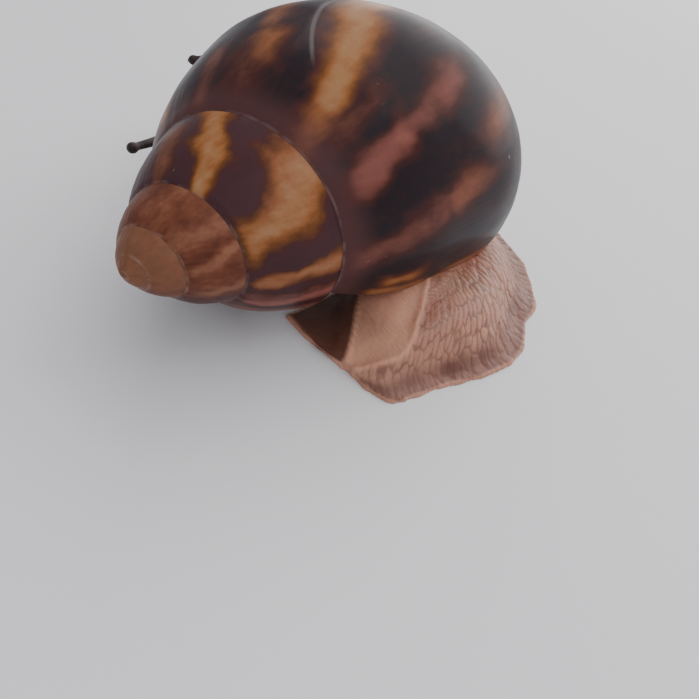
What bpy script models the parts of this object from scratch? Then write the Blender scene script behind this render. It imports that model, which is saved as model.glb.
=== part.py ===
"""Giant African land snail (banana rasp snail), a still life-size model of the living animal.

The snail is turned hard to its left: the tail is drawn in under the spire, the foot curves round
the aperture and the head reaches out past the base of the shell. +X is to the right of a viewer
who looks along +Y at the apex of the shell, +Z is up, and the sole lies on Z = 0.
Sizes below are in millimetres.
"""

import math

import bmesh
import bpy
import numpy as np
from mathutils import Vector
from mathutils.bvhtree import BVHTree

MM = 0.001
CENTRE = (-11.305, 113.927)  # middle of the overall outline in plan, moved to the origin
GAP = 0.3  # clearance between neighbouring solids

# Shell: a blunt, broadly ovate, right-handed spiral, about 95 mm long and 60 mm wide
WHORLS = 4.414
SUTURE_RADII = (0.0, 2.0, 5.17, 9.09, 15.8, 26.74, 35.77)  # at each whole whorl from the nucleus
SUTURE_DROPS = (0.0, 1.24, 4.2, 10.36, 22.15, 42.31, 79.14)  # along the axis, from the apex
WHORL_BULGE = 0.067  # of the width of the exposed band
BULGE_SKEW = 0.89
BASE_DROP = 94.5  # of the base at the lip; the base draws back along the last whorl
BASE_GROWTH = 0.505
BASE_SWEEP = (0.313, 0.375)  # at the lip, and the change over one whorl
BASE_CURL = (0.895, 0.88)
BASE_ANGLE = (math.radians(-5.8), math.radians(-14.1))
COLUMELLA_RISE = 7.5  # the base turns in towards the apex where it meets the axis
COLUMELLA_REACH = 11.0
APEX = (-33.1, 63.42, 23.61)
AXIS_AZIMUTH = math.radians(70.75)
AXIS_RISE = math.radians(-0.06)
LIP_DIP = math.radians(-24.95)  # how far the outer lip hangs below the axis
STEPS = 40  # per whorl
BAND_PARTS = 6
BASE_PARTS = 12

# Aperture
LIP_THICKNESS = 1.3
APERTURE_DEPTH = 0.075  # of a whorl
APERTURE_PARTS = 12

# Foot, at eleven stations from the tail tip, round the turn, to the front edge under the mouth
FOOT_PATH = (
    (1.0, 83.2),
    (6.5, 90.5),
    (12.5, 101.0),
    (15.5, 114.0),
    (13.0, 129.0),
    (4.0, 142.0),
    (-11.0, 148.7),
    (-27.0, 147.8),
    (-40.0, 142.5),
    (-47.0, 139.9),
    (-54.6, 137.5),
)
LEFT_REACH = (17.0, 18.0, 18.0, 19.0, 17.0, 14.5, 12.0, 10.0, 8.6, 8.0, 7.2)
RIGHT_REACH = (1.5, 11.5, 16.5, 20.5, 22.8, 21.5, 16.0, 11.5, 9.0, 8.0, 7.2)
BACK_HEIGHT = (1.2, 7.5, 10.4, 9.6, 9.4, 12.5, 14.6, 14.2, 13.6, 13.6, 13.6)
INNER_HEIGHT = (1.2, 9.0, 14.0, 18.0, 18.5, 17.5, 15.0, 14.2, 13.6, 13.6, 13.6)  # where the left side falls
LEFT_SHOULDER = (0.05, 0.5, 0.6, 0.55, 0.5, 0.42, 0.32, 0.3, 0.3, 0.3, 0.3)
RIGHT_SHOULDER = (0.0, 0.28, 0.3, 0.34, 0.3, 0.2, 0.16, 0.16, 0.2, 0.2, 0.2)
LEFT_FALL = (0.3, 0.3, 0.3, 0.3, 0.3, 0.4, 0.55, 0.62, 0.65, 0.65, 0.65)
MARGIN_LOBES = (  # on the right margin: share along the foot, spread, reach in millimetres
    (0.028, 0.042, 5.2),
    (0.145, 0.035, -1.6),
    (0.245, 0.022, 0.9),
    (0.303, 0.020, -1.2),
    (0.343, 0.015, 0.3),
    (0.460, 0.050, -1.8),
)
TAIL_BOW = 2.2  # how far the left of the tail's end bows backwards
TAIL_BOW_LENGTH = 0.09
SKIRT = 2.0
MARGIN = 0.8
FOOT_STEPS = 52
SIDE_PARTS = 9
TAIL_END = 0.19  # ends of the lengths, as shares of the way along the foot
MIDDLE_END = 0.5
NECK_END = 0.805
SOLE_FRONT = 2.2  # height of the sole where it runs on under the head

# Head
HEAD_AXIS = ((-40.9, 142.1, 7.6), (-45.4, 140.4, 7.6), (-50.3, 138.8, 7.3), (-55.6, 137.2, 6.5))
HEAD_WIDTHS = (7.2, 7.0, 6.7, 6.0)
HEAD_HEIGHTS = (6.3, 6.4, 5.9, 4.9)
HEAD_ROUNDING = 0.42  # share of the head's length that rounds off in front
MOUTH_AT = (-55.9, 137.1, 4.3)
MOUTH_SIZE = (1.5, 2.9, 1.7)

# Tentacles: axis from root to tip
UPPER_LEFT = ((-46.5, 138.0, 11.0), (-49.0, 126.2, 13.4), (-51.6, 116.9, 13.2), (-54.0, 108.9, 14.0))
UPPER_RIGHT = ((-47.5, 143.0, 11.0), (-50.5, 147.0, 16.5), (-53.8, 148.6, 18.8), (-58.05, 148.1, 17.5))
LOWER_LEFT = ((-51.5, 136.0, 5.5), (-54.5, 132.8, 4.6), (-57.0, 131.0, 3.4))
LOWER_RIGHT = ((-52.5, 141.0, 5.5), (-56.5, 142.8, 4.6), (-59.2, 143.8, 3.4))
UPPER_ROOT = 1.55
UPPER_NECK = 0.78
BULB = 1.2
LOWER_ROOT = 1.15
LOWER_TIP = 0.75
EYE = 0.5
EYE_GAP = 0.05

SHELL_BROWN = (0.16, 0.07, 0.04, 1.0)
FLESH_TAN = (0.42, 0.24, 0.17, 1.0)
DARK_BROWN = (0.09, 0.055, 0.045, 1.0)
EYE_BLACK = (0.01, 0.01, 0.012, 1.0)


def clear_scene():
    for obj in list(bpy.data.objects):
        bpy.data.objects.remove(obj)


def material(name, colour, roughness):
    made = bpy.data.materials.new(name)
    made.use_nodes = True
    shader = made.node_tree.nodes["Principled BSDF"]
    shader.inputs["Base Color"].default_value = colour
    shader.inputs["Roughness"].default_value = roughness
    return made


def collection(name, hidden=False):
    made = bpy.data.collections.new(name)
    bpy.context.scene.collection.children.link(made)
    made.hide_render = hidden
    return made


def model_object(name, points, faces, group, colour_material):
    """A closed mesh object from points in millimetres, with its faces turned outwards."""
    mesh = bpy.data.meshes.new(name)
    shift = np.array([CENTRE[0], CENTRE[1], 0.0])
    mesh.from_pydata([Vector(p) for p in (np.asarray(points) - shift) * MM], [], faces)
    bm = bmesh.new()
    bm.from_mesh(mesh)
    bmesh.ops.remove_doubles(bm, verts=bm.verts, dist=0.02 * MM)
    bmesh.ops.recalc_face_normals(bm, faces=bm.faces)
    bm.to_mesh(mesh)
    bm.free()
    obj = bpy.data.objects.new(name, mesh)
    group.objects.link(obj)
    if colour_material is None:
        obj.hide_render = True
        obj.display_type = "WIRE"
    else:
        mesh.materials.append(colour_material)
    return obj


def cut(obj, cutter):
    boolean = obj.modifiers.new("cut_" + cutter.name, "BOOLEAN")
    boolean.operation = "DIFFERENCE"
    boolean.solver = "EXACT"
    boolean.object = cutter


def evaluated_tree(objects):
    """A search tree over the finished surfaces of these objects, in millimetres of the scene."""
    graph = bpy.context.evaluated_depsgraph_get()
    points, faces = [], []
    for obj in objects:
        mesh = obj.evaluated_get(graph).to_mesh()
        start = len(points)
        points += [vertex.co / MM for vertex in mesh.vertices]
        faces += [[start + i for i in polygon.vertices] for polygon in mesh.polygons]
    return BVHTree.FromPolygons(points, faces)


def monotone(values, at):
    """A smooth curve through values at 0, 1, 2 ... that never overshoots."""
    values = np.array(values, float)
    steps = np.diff(values)
    slopes = np.empty(len(values))
    slopes[1:-1] = 2 * steps[1:] * steps[:-1] / (steps[1:] + steps[:-1])
    slopes[0] = (3 * steps[0] - steps[1]) / 2
    slopes[-1] = (3 * steps[-1] - steps[-2]) / 2
    slopes = np.clip(slopes, 0, None)
    at = np.asarray(at, float)
    k = np.clip(np.floor(at).astype(int), 0, len(steps) - 1)
    t = at - k
    low, high = values[k], values[k + 1]
    return (
        low * (1 + 2 * t) * (1 - t) ** 2
        + slopes[k] * t * (1 - t) ** 2
        + high * t**2 * (3 - 2 * t)
        + slopes[k + 1] * t**2 * (t - 1)
    )


def smooth_path(knots, at):
    """Catmull-Rom curve through the knots; at runs from 0 to 1 over equal spans."""
    knots = np.array(knots, float)
    padded = np.vstack([2 * knots[0] - knots[1], knots, 2 * knots[-1] - knots[-2]])
    position = np.clip(np.asarray(at, float), 0, 1) * (len(knots) - 1)
    k = np.minimum(position.astype(int), len(knots) - 2)
    t = (position - k)[..., None]
    a, b, c, d = padded[k], padded[k + 1], padded[k + 2], padded[k + 3]
    return b + 0.5 * t * (c - a + t * (2 * a - 5 * b + 4 * c - d + t * (3 * (b - c) + d - a)))


# ---- shell ----


def whorl_outline(whorl, whole):
    """(radius, drop) down the wall at this whorl: the exposed band, and the base if whole."""
    r0, r1 = monotone(SUTURE_RADII, whorl), monotone(SUTURE_RADII, whorl + 1)
    z0, z1 = monotone(SUTURE_DROPS, whorl), monotone(SUTURE_DROPS, whorl + 1)
    chord = np.array([r1 - r0, z1 - z0])
    outward = np.array([chord[1], -chord[0]])
    u = np.linspace(0, 1, BAND_PARTS + 1)
    swell = WHORL_BULGE * np.sin(math.pi * u**BULGE_SKEW)
    band = np.array([r0, z0]) + u[:, None] * chord + swell[:, None] * outward
    if not whole:
        return band
    tangent = chord - math.pi * BULGE_SKEW * WHORL_BULGE * outward
    tangent /= np.linalg.norm(tangent)
    past = whorl - WHORLS
    sweep, curl, angle = (low + slope * past for low, slope in (BASE_SWEEP, BASE_CURL, BASE_ANGLE))
    end = np.array([0.0, BASE_DROP * math.exp(BASE_GROWTH * past)])
    reach = np.linalg.norm(end - band[-1])
    arrival = np.array([-math.cos(angle), math.sin(angle)])
    p1 = band[-1] + tangent * sweep * reach
    p2 = end - arrival * max(curl, 0.0) * reach
    t = np.linspace(0, 1, BASE_PARTS + 1)[1:, None]
    base = (1 - t) ** 3 * band[-1] + 3 * (1 - t) ** 2 * t * p1 + 3 * (1 - t) * t**2 * p2 + t**3 * end
    size = math.exp(BASE_GROWTH * past)
    near = np.clip(1 - base[:, 0] / (COLUMELLA_REACH * size), 0, 1)
    base[:, 1] -= COLUMELLA_RISE * size * near**2
    return np.vstack([band, base])


def shell_frame():
    """Apex, axis, the lip's direction from the axis, and the way the whorl grows there."""
    axis = np.array(
        [
            math.cos(AXIS_RISE) * math.cos(AXIS_AZIMUTH),
            math.cos(AXIS_RISE) * math.sin(AXIS_AZIMUTH),
            math.sin(AXIS_RISE),
        ]
    )
    right = np.cross(axis, (0, 0, 1))
    right /= np.linalg.norm(right)
    up = np.cross(right, axis)
    lip = math.cos(LIP_DIP) * right + math.sin(LIP_DIP) * up
    return np.array(APEX), axis, lip, np.cross(axis, lip)


def around_axis(whorl, outline):
    """Places an outline at its turn round the axis."""
    apex, axis, lip, growth = shell_frame()
    turn = 2 * math.pi * (whorl - WHORLS)
    radial = math.cos(turn) * lip + math.sin(turn) * growth
    return apex + outline[:, 1:2] * axis + outline[:, 0:1] * radial


def shell_wall():
    """The outside of the shell, from the nucleus to the lip, closed flat at the aperture."""
    points, faces = [], []

    def sheet(whorls, whole):
        rows = [around_axis(w, whorl_outline(w, whole)) for w in whorls]
        start, width = len(points), len(rows[0])
        for row in rows:
            points.extend(row)
        for i in range(len(rows) - 1):
            for j in range(width - 1):
                a = start + i * width + j
                faces.append((a, a + 1, a + width + 1, a + width))

    turns = np.arange(int(WHORLS * STEPS) + 1)[::-1] / STEPS
    whorls = WHORLS - turns
    sheet(whorls[whorls <= WHORLS - 1 + 1e-9], False)
    sheet(whorls[whorls >= WHORLS - 1 - 1e-9], True)
    return points, faces


def close_holes(obj):
    bm = bmesh.new()
    bm.from_mesh(obj.data)
    open_edges = [edge for edge in bm.edges if edge.is_boundary]
    bmesh.ops.triangle_fill(bm, use_beauty=True, use_dissolve=False, edges=open_edges)
    bmesh.ops.recalc_face_normals(bm, faces=bm.faces)
    bm.to_mesh(obj.data)
    bm.free()


def inset(curve, distance):
    """Moves an open curve in (radius, drop) sideways, to the right of its direction."""
    along = np.gradient(curve, axis=0)
    along /= np.linalg.norm(along, axis=1)[:, None]
    return curve + distance * np.stack([-along[:, 1], along[:, 0]], axis=1)


def aperture_plug(name, first, last, wall, trim, group, colour_material):
    """A solid that fills the mouth of the last whorl between two turns, clear of the wall."""
    rows = []
    for whorl in np.linspace(first, last, APERTURE_PARTS):
        outer = inset(whorl_outline(whorl, True), wall)[3 + trim : -1 - trim]
        inner = inset(whorl_outline(whorl - 1, True), -wall)[BAND_PARTS + trim : -1 - trim]
        inner[:, 0] = np.maximum(inner[:, 0], 2.5 + wall)
        rows.append(around_axis(whorl, np.vstack([outer, inner[::-1]])))
    width = len(rows[0])
    faces = [tuple(range(width)), tuple(range(width * (len(rows) - 1), width * len(rows)))]
    for i in range(len(rows) - 1):
        for j in range(width):
            k = (j + 1) % width
            faces.append((i * width + j, i * width + k, (i + 1) * width + k, (i + 1) * width + j))
    return model_object(name, np.vstack(rows), faces, group, colour_material)


def build_shell(parts, cutters):
    points, faces = shell_wall()
    shell = model_object("shell", points, faces, parts, material("shell", SHELL_BROWN, 0.35))
    close_holes(shell)
    mouth = aperture_plug(
        "aperture_cutter", WHORLS - APERTURE_DEPTH, WHORLS + 0.03, LIP_THICKNESS, 1, cutters, None
    )
    cut(shell, mouth)
    mantle = aperture_plug(
        "mantle_collar",
        WHORLS - APERTURE_DEPTH + 0.006,
        WHORLS - 0.004,
        LIP_THICKNESS + GAP + 0.1,
        2,
        parts,
        material("mantle_collar", FLESH_TAN, 0.45),
    )
    return shell, mantle


# ---- foot ----


def side_height(share, back, inner, shoulder, fall):
    """Height of the flesh at a share of the way from the spine (0) to the margin (1)."""
    crest = back + (inner - back) * np.clip(share / max(shoulder, 0.01), 0, 1)
    down = np.clip((share - shoulder) / fall, 0, 1)
    skirt = MARGIN + (SKIRT - MARGIN) * (1 - share)
    return skirt + np.maximum(crest - skirt, 0) * (0.5 + 0.5 * np.cos(math.pi * down))


def ceiling(tree, x, y):
    """The lowest thing overhead near (x, y), seen from the floor."""
    lowest = 1000.0
    for dx in (-1.6, 0.0, 1.6):
        for dy in (-1.6, 0.0, 1.6):
            hit = tree.ray_cast(Vector((x + dx - CENTRE[0], y + dy - CENTRE[1], -5.0)), Vector((0, 0, 1)))
            if hit[0] is not None:
                lowest = min(lowest, hit[0].z)
    return lowest


def foot_row(share):
    """Places across the foot and their free heights, at a share of the way to the front."""
    rows = (LEFT_REACH, RIGHT_REACH, BACK_HEIGHT, INNER_HEIGHT, LEFT_SHOULDER, RIGHT_SHOULDER, LEFT_FALL)
    stations = np.column_stack([FOOT_PATH, np.transpose(rows)])
    x, y, left, right, back, inner, left_shoulder, right_shoulder, fall = smooth_path(stations, share)
    ahead = smooth_path(FOOT_PATH, share + 0.004) - smooth_path(FOOT_PATH, share - 0.004)
    ahead /= np.linalg.norm(ahead)
    across = np.array([ahead[1], -ahead[0]])
    front = np.clip((share - NECK_END) / (1 - NECK_END), 0, 0.99)
    rounding = math.sqrt(1 - front**3)
    right += sum(reach * math.exp(-(((share - at) / spread) ** 2)) for at, spread, reach in MARGIN_LOBES)
    bow = TAIL_BOW * max(0.0, 1 - share / TAIL_BOW_LENGTH) ** 2
    places, heights = [], []
    for side in np.linspace(-1, 1, 2 * SIDE_PARTS + 1):
        if side > 0:
            places.append(np.array([x, y]) + across * side * right * rounding)
            heights.append(side_height(side, back, back, right_shoulder, 0.93 - right_shoulder))
        else:
            turn = min(max((-side - 0.05) / 0.4, 0.0), 1.0)
            back_by = bow * turn * turn * (3 - 2 * turn)
            places.append(np.array([x, y]) + across * side * left * rounding - ahead * back_by)
            heights.append(side_height(-side, back, inner, left_shoulder, fall))
    return np.array(places), np.array(heights)


def foot_heights(places, heights, tree):
    """Heights kept under the shell and mantle, and smoothed along the foot."""
    limits = np.array([[ceiling(tree, *place) for place in row] for row in places]) - GAP - 0.1
    heights = np.minimum(heights, limits)
    for _ in range(2):
        padded = np.vstack([heights[:1], heights, heights[-1:]])
        heights = np.minimum(0.25 * padded[:-2] + 0.5 * padded[1:-1] + 0.25 * padded[2:], limits)
    return np.maximum(heights, 0.3)


def foot_length(name, places, heights, group, colour_material):
    """One length of the body, from rows of places and heights, with its underside on the floor."""
    points = []
    for row, tops in zip(places, heights):
        points.extend(np.column_stack([row, tops]))
        points.extend(np.column_stack([row, np.zeros(len(row))]))
    count = len(places) - 1
    width = places.shape[1]
    row = 2 * width
    faces = []
    for i in range(count):
        for j in range(width - 1):
            a = i * row + j
            faces.append((a, a + 1, a + row + 1, a + row))
        for j in (0, width - 1):
            a = i * row + j
            faces.append((a, a + row, a + row + width, a + width))
    rim = [i * row + width for i in range(count)] + [count * row + width + j for j in range(width - 1)]
    rim += [i * row + row - 1 for i in range(count, 0, -1)] + [width + j for j in range(width - 1, 0, -1)]
    for i in (0, count):
        for j in range(width - 1):
            a = i * row + j
            faces.append((a, a + 1, a + width + 1, a + width))
    used = sorted({k for face in faces for k in face})
    place_of = {k: i for i, k in enumerate(used)}
    faces = [tuple(place_of[k] for k in face) for face in faces]
    faces.append(tuple(place_of[k] for k in rim))
    return model_object(name, [points[k] for k in used], faces, group, colour_material)


def build_foot(parts, shell, mantle):
    tree = evaluated_tree([shell, mantle])
    whole = np.linalg.norm(np.diff(np.array(FOOT_PATH), axis=0), axis=1).sum()
    half_gap = 0.5 * GAP / whole
    ends = (0.0, TAIL_END, MIDDLE_END, NECK_END, 1.0)
    shares = []
    for first, last in zip(ends[:-1], ends[1:]):
        count = max(4, round((last - first) * FOOT_STEPS))
        shares.append(np.linspace(first + (first > 0) * half_gap, last - (last < 1) * half_gap, count))
    rows = [foot_row(share) for share in np.concatenate(shares)]
    places = np.array([row[0] for row in rows])
    heights = foot_heights(places, np.array([row[1] for row in rows]), tree)
    flesh = material("flesh", FLESH_TAN, 0.5)
    start = 0
    for name, part in zip(("tail", "foot", "neck", "front_of_sole"), shares):
        stop = start + len(part)
        tops = heights[start:stop]
        if name == "front_of_sole":
            tops = np.minimum(tops, SOLE_FRONT)
        foot_length(name, places[start:stop], tops, parts, flesh)
        start = stop


# ---- head, mouth, tentacles and eyes ----


def loft(name, centres, widths, heights, group, colour_material, sides=20, grow=0.0, flat=None):
    """Oval sections along a path, closed at both ends; flat is the lowest height allowed."""
    centres = np.array(centres, float)
    along = np.gradient(centres, axis=0)
    along /= np.linalg.norm(along, axis=1)[:, None]
    points = []
    for centre, way, wide, high in zip(centres, along, widths, heights):
        across = np.cross(way, (0.0, 0.0, 1.0))
        across /= np.linalg.norm(across)
        over = np.cross(across, way)
        for k in range(sides):
            a = 2 * math.pi * k / sides
            points.append(
                centre + (wide + grow) * math.cos(a) * across + (high + grow) * math.sin(a) * over
            )
    points = np.array(points)
    if flat is not None:
        points[:, 2] = np.maximum(points[:, 2], flat)
    count = len(centres)
    faces = [tuple(range(sides)), tuple(range(sides * (count - 1), sides * count))]
    for i in range(count - 1):
        for j in range(sides):
            k = (j + 1) % sides
            faces.append((i * sides + j, i * sides + k, (i + 1) * sides + k, (i + 1) * sides + j))
    return model_object(name, points, faces, group, colour_material)


def build_head(parts, cutters):
    flesh = material("head", FLESH_TAN, 0.5)
    straight = 1 - HEAD_ROUNDING
    round_end = straight + HEAD_ROUNDING * np.sin(np.linspace(0, 0.5 * math.pi, 8)[1:])
    shares = np.concatenate([np.linspace(0, straight, 6), round_end])
    centres = smooth_path(HEAD_AXIS, shares)
    ball_end = np.clip((shares - straight) / HEAD_ROUNDING, 0, 1)
    taper = np.sqrt(np.clip(1 - ball_end**2.4, 0.02, 1))
    widths = smooth_path(np.array(HEAD_WIDTHS)[:, None], shares)[:, 0] * taper
    heights = smooth_path(np.array(HEAD_HEIGHTS)[:, None], shares)[:, 0] * taper
    flat = SOLE_FRONT + GAP
    head = loft("head", centres, widths, heights, parts, flesh, sides=24, flat=flat)
    grown = loft("head_cutter", centres, widths, heights, cutters, None, sides=24, grow=GAP)
    return head, grown


def mouth_lobes(parts, head_cutter):
    bm = bmesh.new()
    bmesh.ops.create_uvsphere(bm, u_segments=16, v_segments=10, radius=1.0)
    points = [np.array(v.co) * MOUTH_SIZE + MOUTH_AT for v in bm.verts]
    faces = [tuple(v.index for v in f.verts) for f in bm.faces]
    bm.free()
    mouth = model_object("mouth", points, faces, parts, material("mouth", FLESH_TAN, 0.5))
    cut(mouth, head_cutter)


def upper_tentacle(side, axis, parts, cutters, head_cutter):
    skin = material("upper_tentacle_" + side, DARK_BROWN, 0.5)
    radii = (UPPER_ROOT, 1.3, 1.1, 0.95, UPPER_NECK)
    shares = np.linspace(0, 1, 25)
    path = smooth_path(axis, shares)
    widths = smooth_path(np.array(radii)[:, None], shares)[:, 0]
    middle = 13
    gap = 0.5 * GAP / np.linalg.norm(path[middle + 1] - path[middle])
    joint = smooth_path(axis, [shares[middle] - gap / 24, shares[middle] + gap / 24])
    root = np.vstack([path[:middle], joint[:1]])
    root_widths = widths[: middle + 1]
    stalk = loft("upper_tentacle_" + side + "_root", root, root_widths, root_widths, parts, skin, 12)
    cut(stalk, head_cutter)
    tip = path[-1]
    way = path[-1] - path[-2]
    way /= np.linalg.norm(way)
    ends = np.linspace(-0.2, 1.0, 7)
    bulb = np.array([tip + way * BULB * (1.25 * e - 0.1) for e in ends])
    bulb_widths = BULB * np.sqrt(np.clip(1 - np.clip(ends, -1, 1) ** 2, 0.03, 1))
    bulb_widths[0] = 0.93 * BULB
    outer = np.vstack([joint[1:], path[middle + 1 : -1], bulb])
    outer_widths = np.concatenate([widths[middle : middle + 1], widths[middle + 1 : -1], bulb_widths])
    end = loft("upper_tentacle_" + side + "_tip", outer, outer_widths, outer_widths, parts, skin, 12)
    eye_at = tip + way * (1.15 * BULB - 0.75 * EYE)
    socket = ball("socket_" + side, eye_at, EYE + EYE_GAP, cutters, None)
    cut(end, socket)
    ball("eye_" + side, eye_at, EYE, parts, material("eye_" + side, EYE_BLACK, 0.1))


def ball(name, centre, radius, group, colour_material):
    bm = bmesh.new()
    bmesh.ops.create_uvsphere(bm, u_segments=12, v_segments=8, radius=radius)
    points = [np.array(v.co) + centre for v in bm.verts]
    faces = [tuple(v.index for v in f.verts) for f in bm.faces]
    bm.free()
    return model_object(name, points, faces, group, colour_material)


def lower_tentacle(side, axis, parts, head_cutter):
    shares = np.concatenate([np.linspace(0, 0.9, 9), [0.95, 0.985, 1.0]])
    widths = LOWER_ROOT + (LOWER_TIP - LOWER_ROOT) * shares
    widths *= np.sqrt(np.clip(1 - (np.clip(shares - 0.86, 0, 1) / 0.145) ** 2, 0.03, 1))
    skin = material("lower_tentacle_" + side, DARK_BROWN, 0.5)
    path = smooth_path(axis, shares)
    stalk = loft("lower_tentacle_" + side, path, widths, widths, parts, skin, 12)
    cut(stalk, head_cutter)


def main():
    clear_scene()
    parts = collection("giant_african_land_snail")
    cutters = collection("cutters", hidden=True)
    shell, mantle = build_shell(parts, cutters)
    build_foot(parts, shell, mantle)
    head, head_cutter = build_head(parts, cutters)
    mouth_lobes(parts, head_cutter)
    upper_tentacle("left", UPPER_LEFT, parts, cutters, head_cutter)
    upper_tentacle("right", UPPER_RIGHT, parts, cutters, head_cutter)
    lower_tentacle("left", LOWER_LEFT, parts, head_cutter)
    lower_tentacle("right", LOWER_RIGHT, parts, head_cutter)


main()
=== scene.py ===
"""Looks of a giant African land snail (banana rasp snail): polished flamed shell over moist skin.

The body is worked out in millimetres on the floor, in the same plan as the solids, and is turned
into metres when a mesh is made. Lengths below are in millimetres unless a comment says otherwise.
"""

import math
from itertools import product

import bmesh
import bpy
import numpy as np
from mathutils import Matrix, Vector
from mathutils.bvhtree import BVHTree


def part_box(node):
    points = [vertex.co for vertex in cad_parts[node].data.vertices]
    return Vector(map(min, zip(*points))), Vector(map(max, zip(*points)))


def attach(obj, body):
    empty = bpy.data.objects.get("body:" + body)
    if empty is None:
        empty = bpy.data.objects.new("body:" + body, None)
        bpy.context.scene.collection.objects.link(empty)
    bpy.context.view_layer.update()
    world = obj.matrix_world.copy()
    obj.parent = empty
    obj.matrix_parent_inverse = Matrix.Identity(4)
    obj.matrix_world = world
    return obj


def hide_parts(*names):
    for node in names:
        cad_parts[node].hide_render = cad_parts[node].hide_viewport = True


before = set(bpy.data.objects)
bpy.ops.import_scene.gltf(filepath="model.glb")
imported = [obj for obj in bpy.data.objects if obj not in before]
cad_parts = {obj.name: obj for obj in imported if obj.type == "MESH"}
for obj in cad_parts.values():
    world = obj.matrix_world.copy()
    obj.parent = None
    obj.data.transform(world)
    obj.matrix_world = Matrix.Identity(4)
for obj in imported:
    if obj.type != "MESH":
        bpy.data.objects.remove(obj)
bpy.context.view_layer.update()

bl_info = {
    "name": "Giant African land snail",
    "version": (1, 0, 0),
    "blender": (4, 5, 0),
    "location": "View3D > Sidebar > Snail",
    "description": "Builds the shell, skin, eyes and stage of a life-size land snail",
    "category": "Object",
}

MM = 0.001
CENTRE = (-11.305, 113.927)  # where the middle of the solids' plan lies in the working plan

# ---- shell law, as in the solids: radii and drops from the apex, sizes of the base's curve ----
WHORLS = 4.414
SUTURE_RADII = (0.0, 2.0, 5.17, 9.09, 15.8, 26.74, 35.77)
SUTURE_DROPS = (0.0, 1.24, 4.2, 10.36, 22.15, 42.31, 79.14)
WHORL_BULGE = 0.067
BULGE_SKEW = 0.89
BASE_DROP = 94.5
BASE_GROWTH = 0.505
BASE_SWEEP = (0.313, 0.375)
BASE_CURL = (0.895, 0.88)
BASE_ANGLE = (math.radians(-5.8), math.radians(-14.1))
COLUMELLA_RISE = 7.5
COLUMELLA_REACH = 11.0
APEX = (-33.1, 63.42, 23.61)
AXIS_AZIMUTH = math.radians(70.75)
AXIS_RISE = math.radians(-0.06)
LIP_DIP = math.radians(-24.95)

# ---- how the shell is meshed: steps are to a turn ----
SPIRE_STEPS = 220
BODY_STEPS = 320
BAND_PARTS = 36
BASE_PARTS = 64
FIRST_TURN = -0.97
BODY_SPAN = 1.16  # turns meshed as one wall from the suture to the columella; above them only the band
REST_TURN = 4.07  # where growth once rested
REST_SWEEP = 0.04  # how far the line it left sweeps forward
WALL = 1.05  # thickness at the lip
INNER_SPAN = 0.15  # turns of inner wall behind the lip
INNER_ROWS = 12
LIP_SHARE = 0.9  # the last tenth of the outline lies on the columella and has no lip
LIP_ROUNDING = (  # depth in from the outer wall, how far it stands ahead, share of lining
    (0.15, 0.28, 0.2),
    (0.5, 0.42, 0.5),
    (0.9, 0.25, 0.8),
)
PILLAR_TOP = 50.0  # the columella seen in the shell's mouth: drops from the apex, radius and sides
PILLAR_BOTTOM = 86.2
PILLAR_LENGTH = 36.4
PILLAR_RADIUS = 2.7
PILLAR_SIDES = 24
PILLAR_ROWS = 40

# Flames: turn at the suture, turn at the periphery, half width, from, to (0 suture, 1 periphery,
# past 1 on the base), lightness, warmth (0 rust, 1 amber)
BODY_FLAMES = (
    (4.015, 3.985, 0.012, 0.0, 0.65, 0.42, 0.2),
    (4.078, 4.038, 0.016, 0.36, 0.78, 0.68, 0.8),
    (4.066, 4.030, 0.030, 0.12, 0.55, 0.34, 0.2),
    (4.055, 4.032, 0.016, 0.72, 1.15, 0.6, 0.7),
    (4.180, 4.110, 0.0205, 0.22, 1.4, 0.88, 1.0),
    (4.178, 4.120, 0.021, -0.1, 0.4, 0.64, 0.65),
    (4.203, 4.160, 0.014, 0.1, 0.68, 0.36, 0.2),
    (4.258, 4.200, 0.018, 0.1, 0.7, 0.74, 0.1),
    (4.258, 4.200, 0.016, 0.6, 1.25, 0.58, 0.12),
    (4.350, 4.292, 0.017, 0.0, 0.88, 0.5, 0.12),
    (4.322, 4.294, 0.019, 0.74, 1.2, 0.6, 0.4),
    (4.322, 4.262, 0.015, 1.15, 1.7, 0.55, 0.5),
    (4.393, 4.384, 0.012, 0.3, 0.68, 0.75, 0.9),
)
SPIRE_FLAMES = (
    (3.020, 2.985, 0.024, -0.1, 0.85, 0.5, 0.45),
    (3.440, 3.400, 0.025, 0.0, 1.1, 0.5, 0.05),
    (3.133, 3.047, 0.029, -0.1, 1.1, 0.86, 1.0),
    (3.292, 3.198, 0.050, 0.0, 1.1, 0.88, 0.9),
    (3.262, 3.165, 0.026, 0.3, 1.1, 0.58, 0.5),
    (3.386, 3.338, 0.017, 0.02, 1.1, 0.8, 0.75),
    (2.235, 2.215, 0.035, 0.05, 1.1, 0.3, 0.4),
    (2.120, 2.085, 0.020, 0.0, 1.1, 0.25, 0.3),
)
HIDDEN_FLAMES = (  # first turn, last turn, gap, lightness
    (2.33, 2.95, 0.085, 0.5),
    (3.46, 3.97, 0.074, 0.62),
)
HIDDEN_SLANT = 0.055
EDGE_LIGHTNESS = 0.72  # of the fresh edge along the lip
EDGE_WARMTH = 0.8
# Values of points that are no part of the outer wall
OFF_PATTERN = {"from_rest": 1.0, "flame_light": 0.4, "flame_warmth": 0.8, "from_suture": 5.0}

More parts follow.
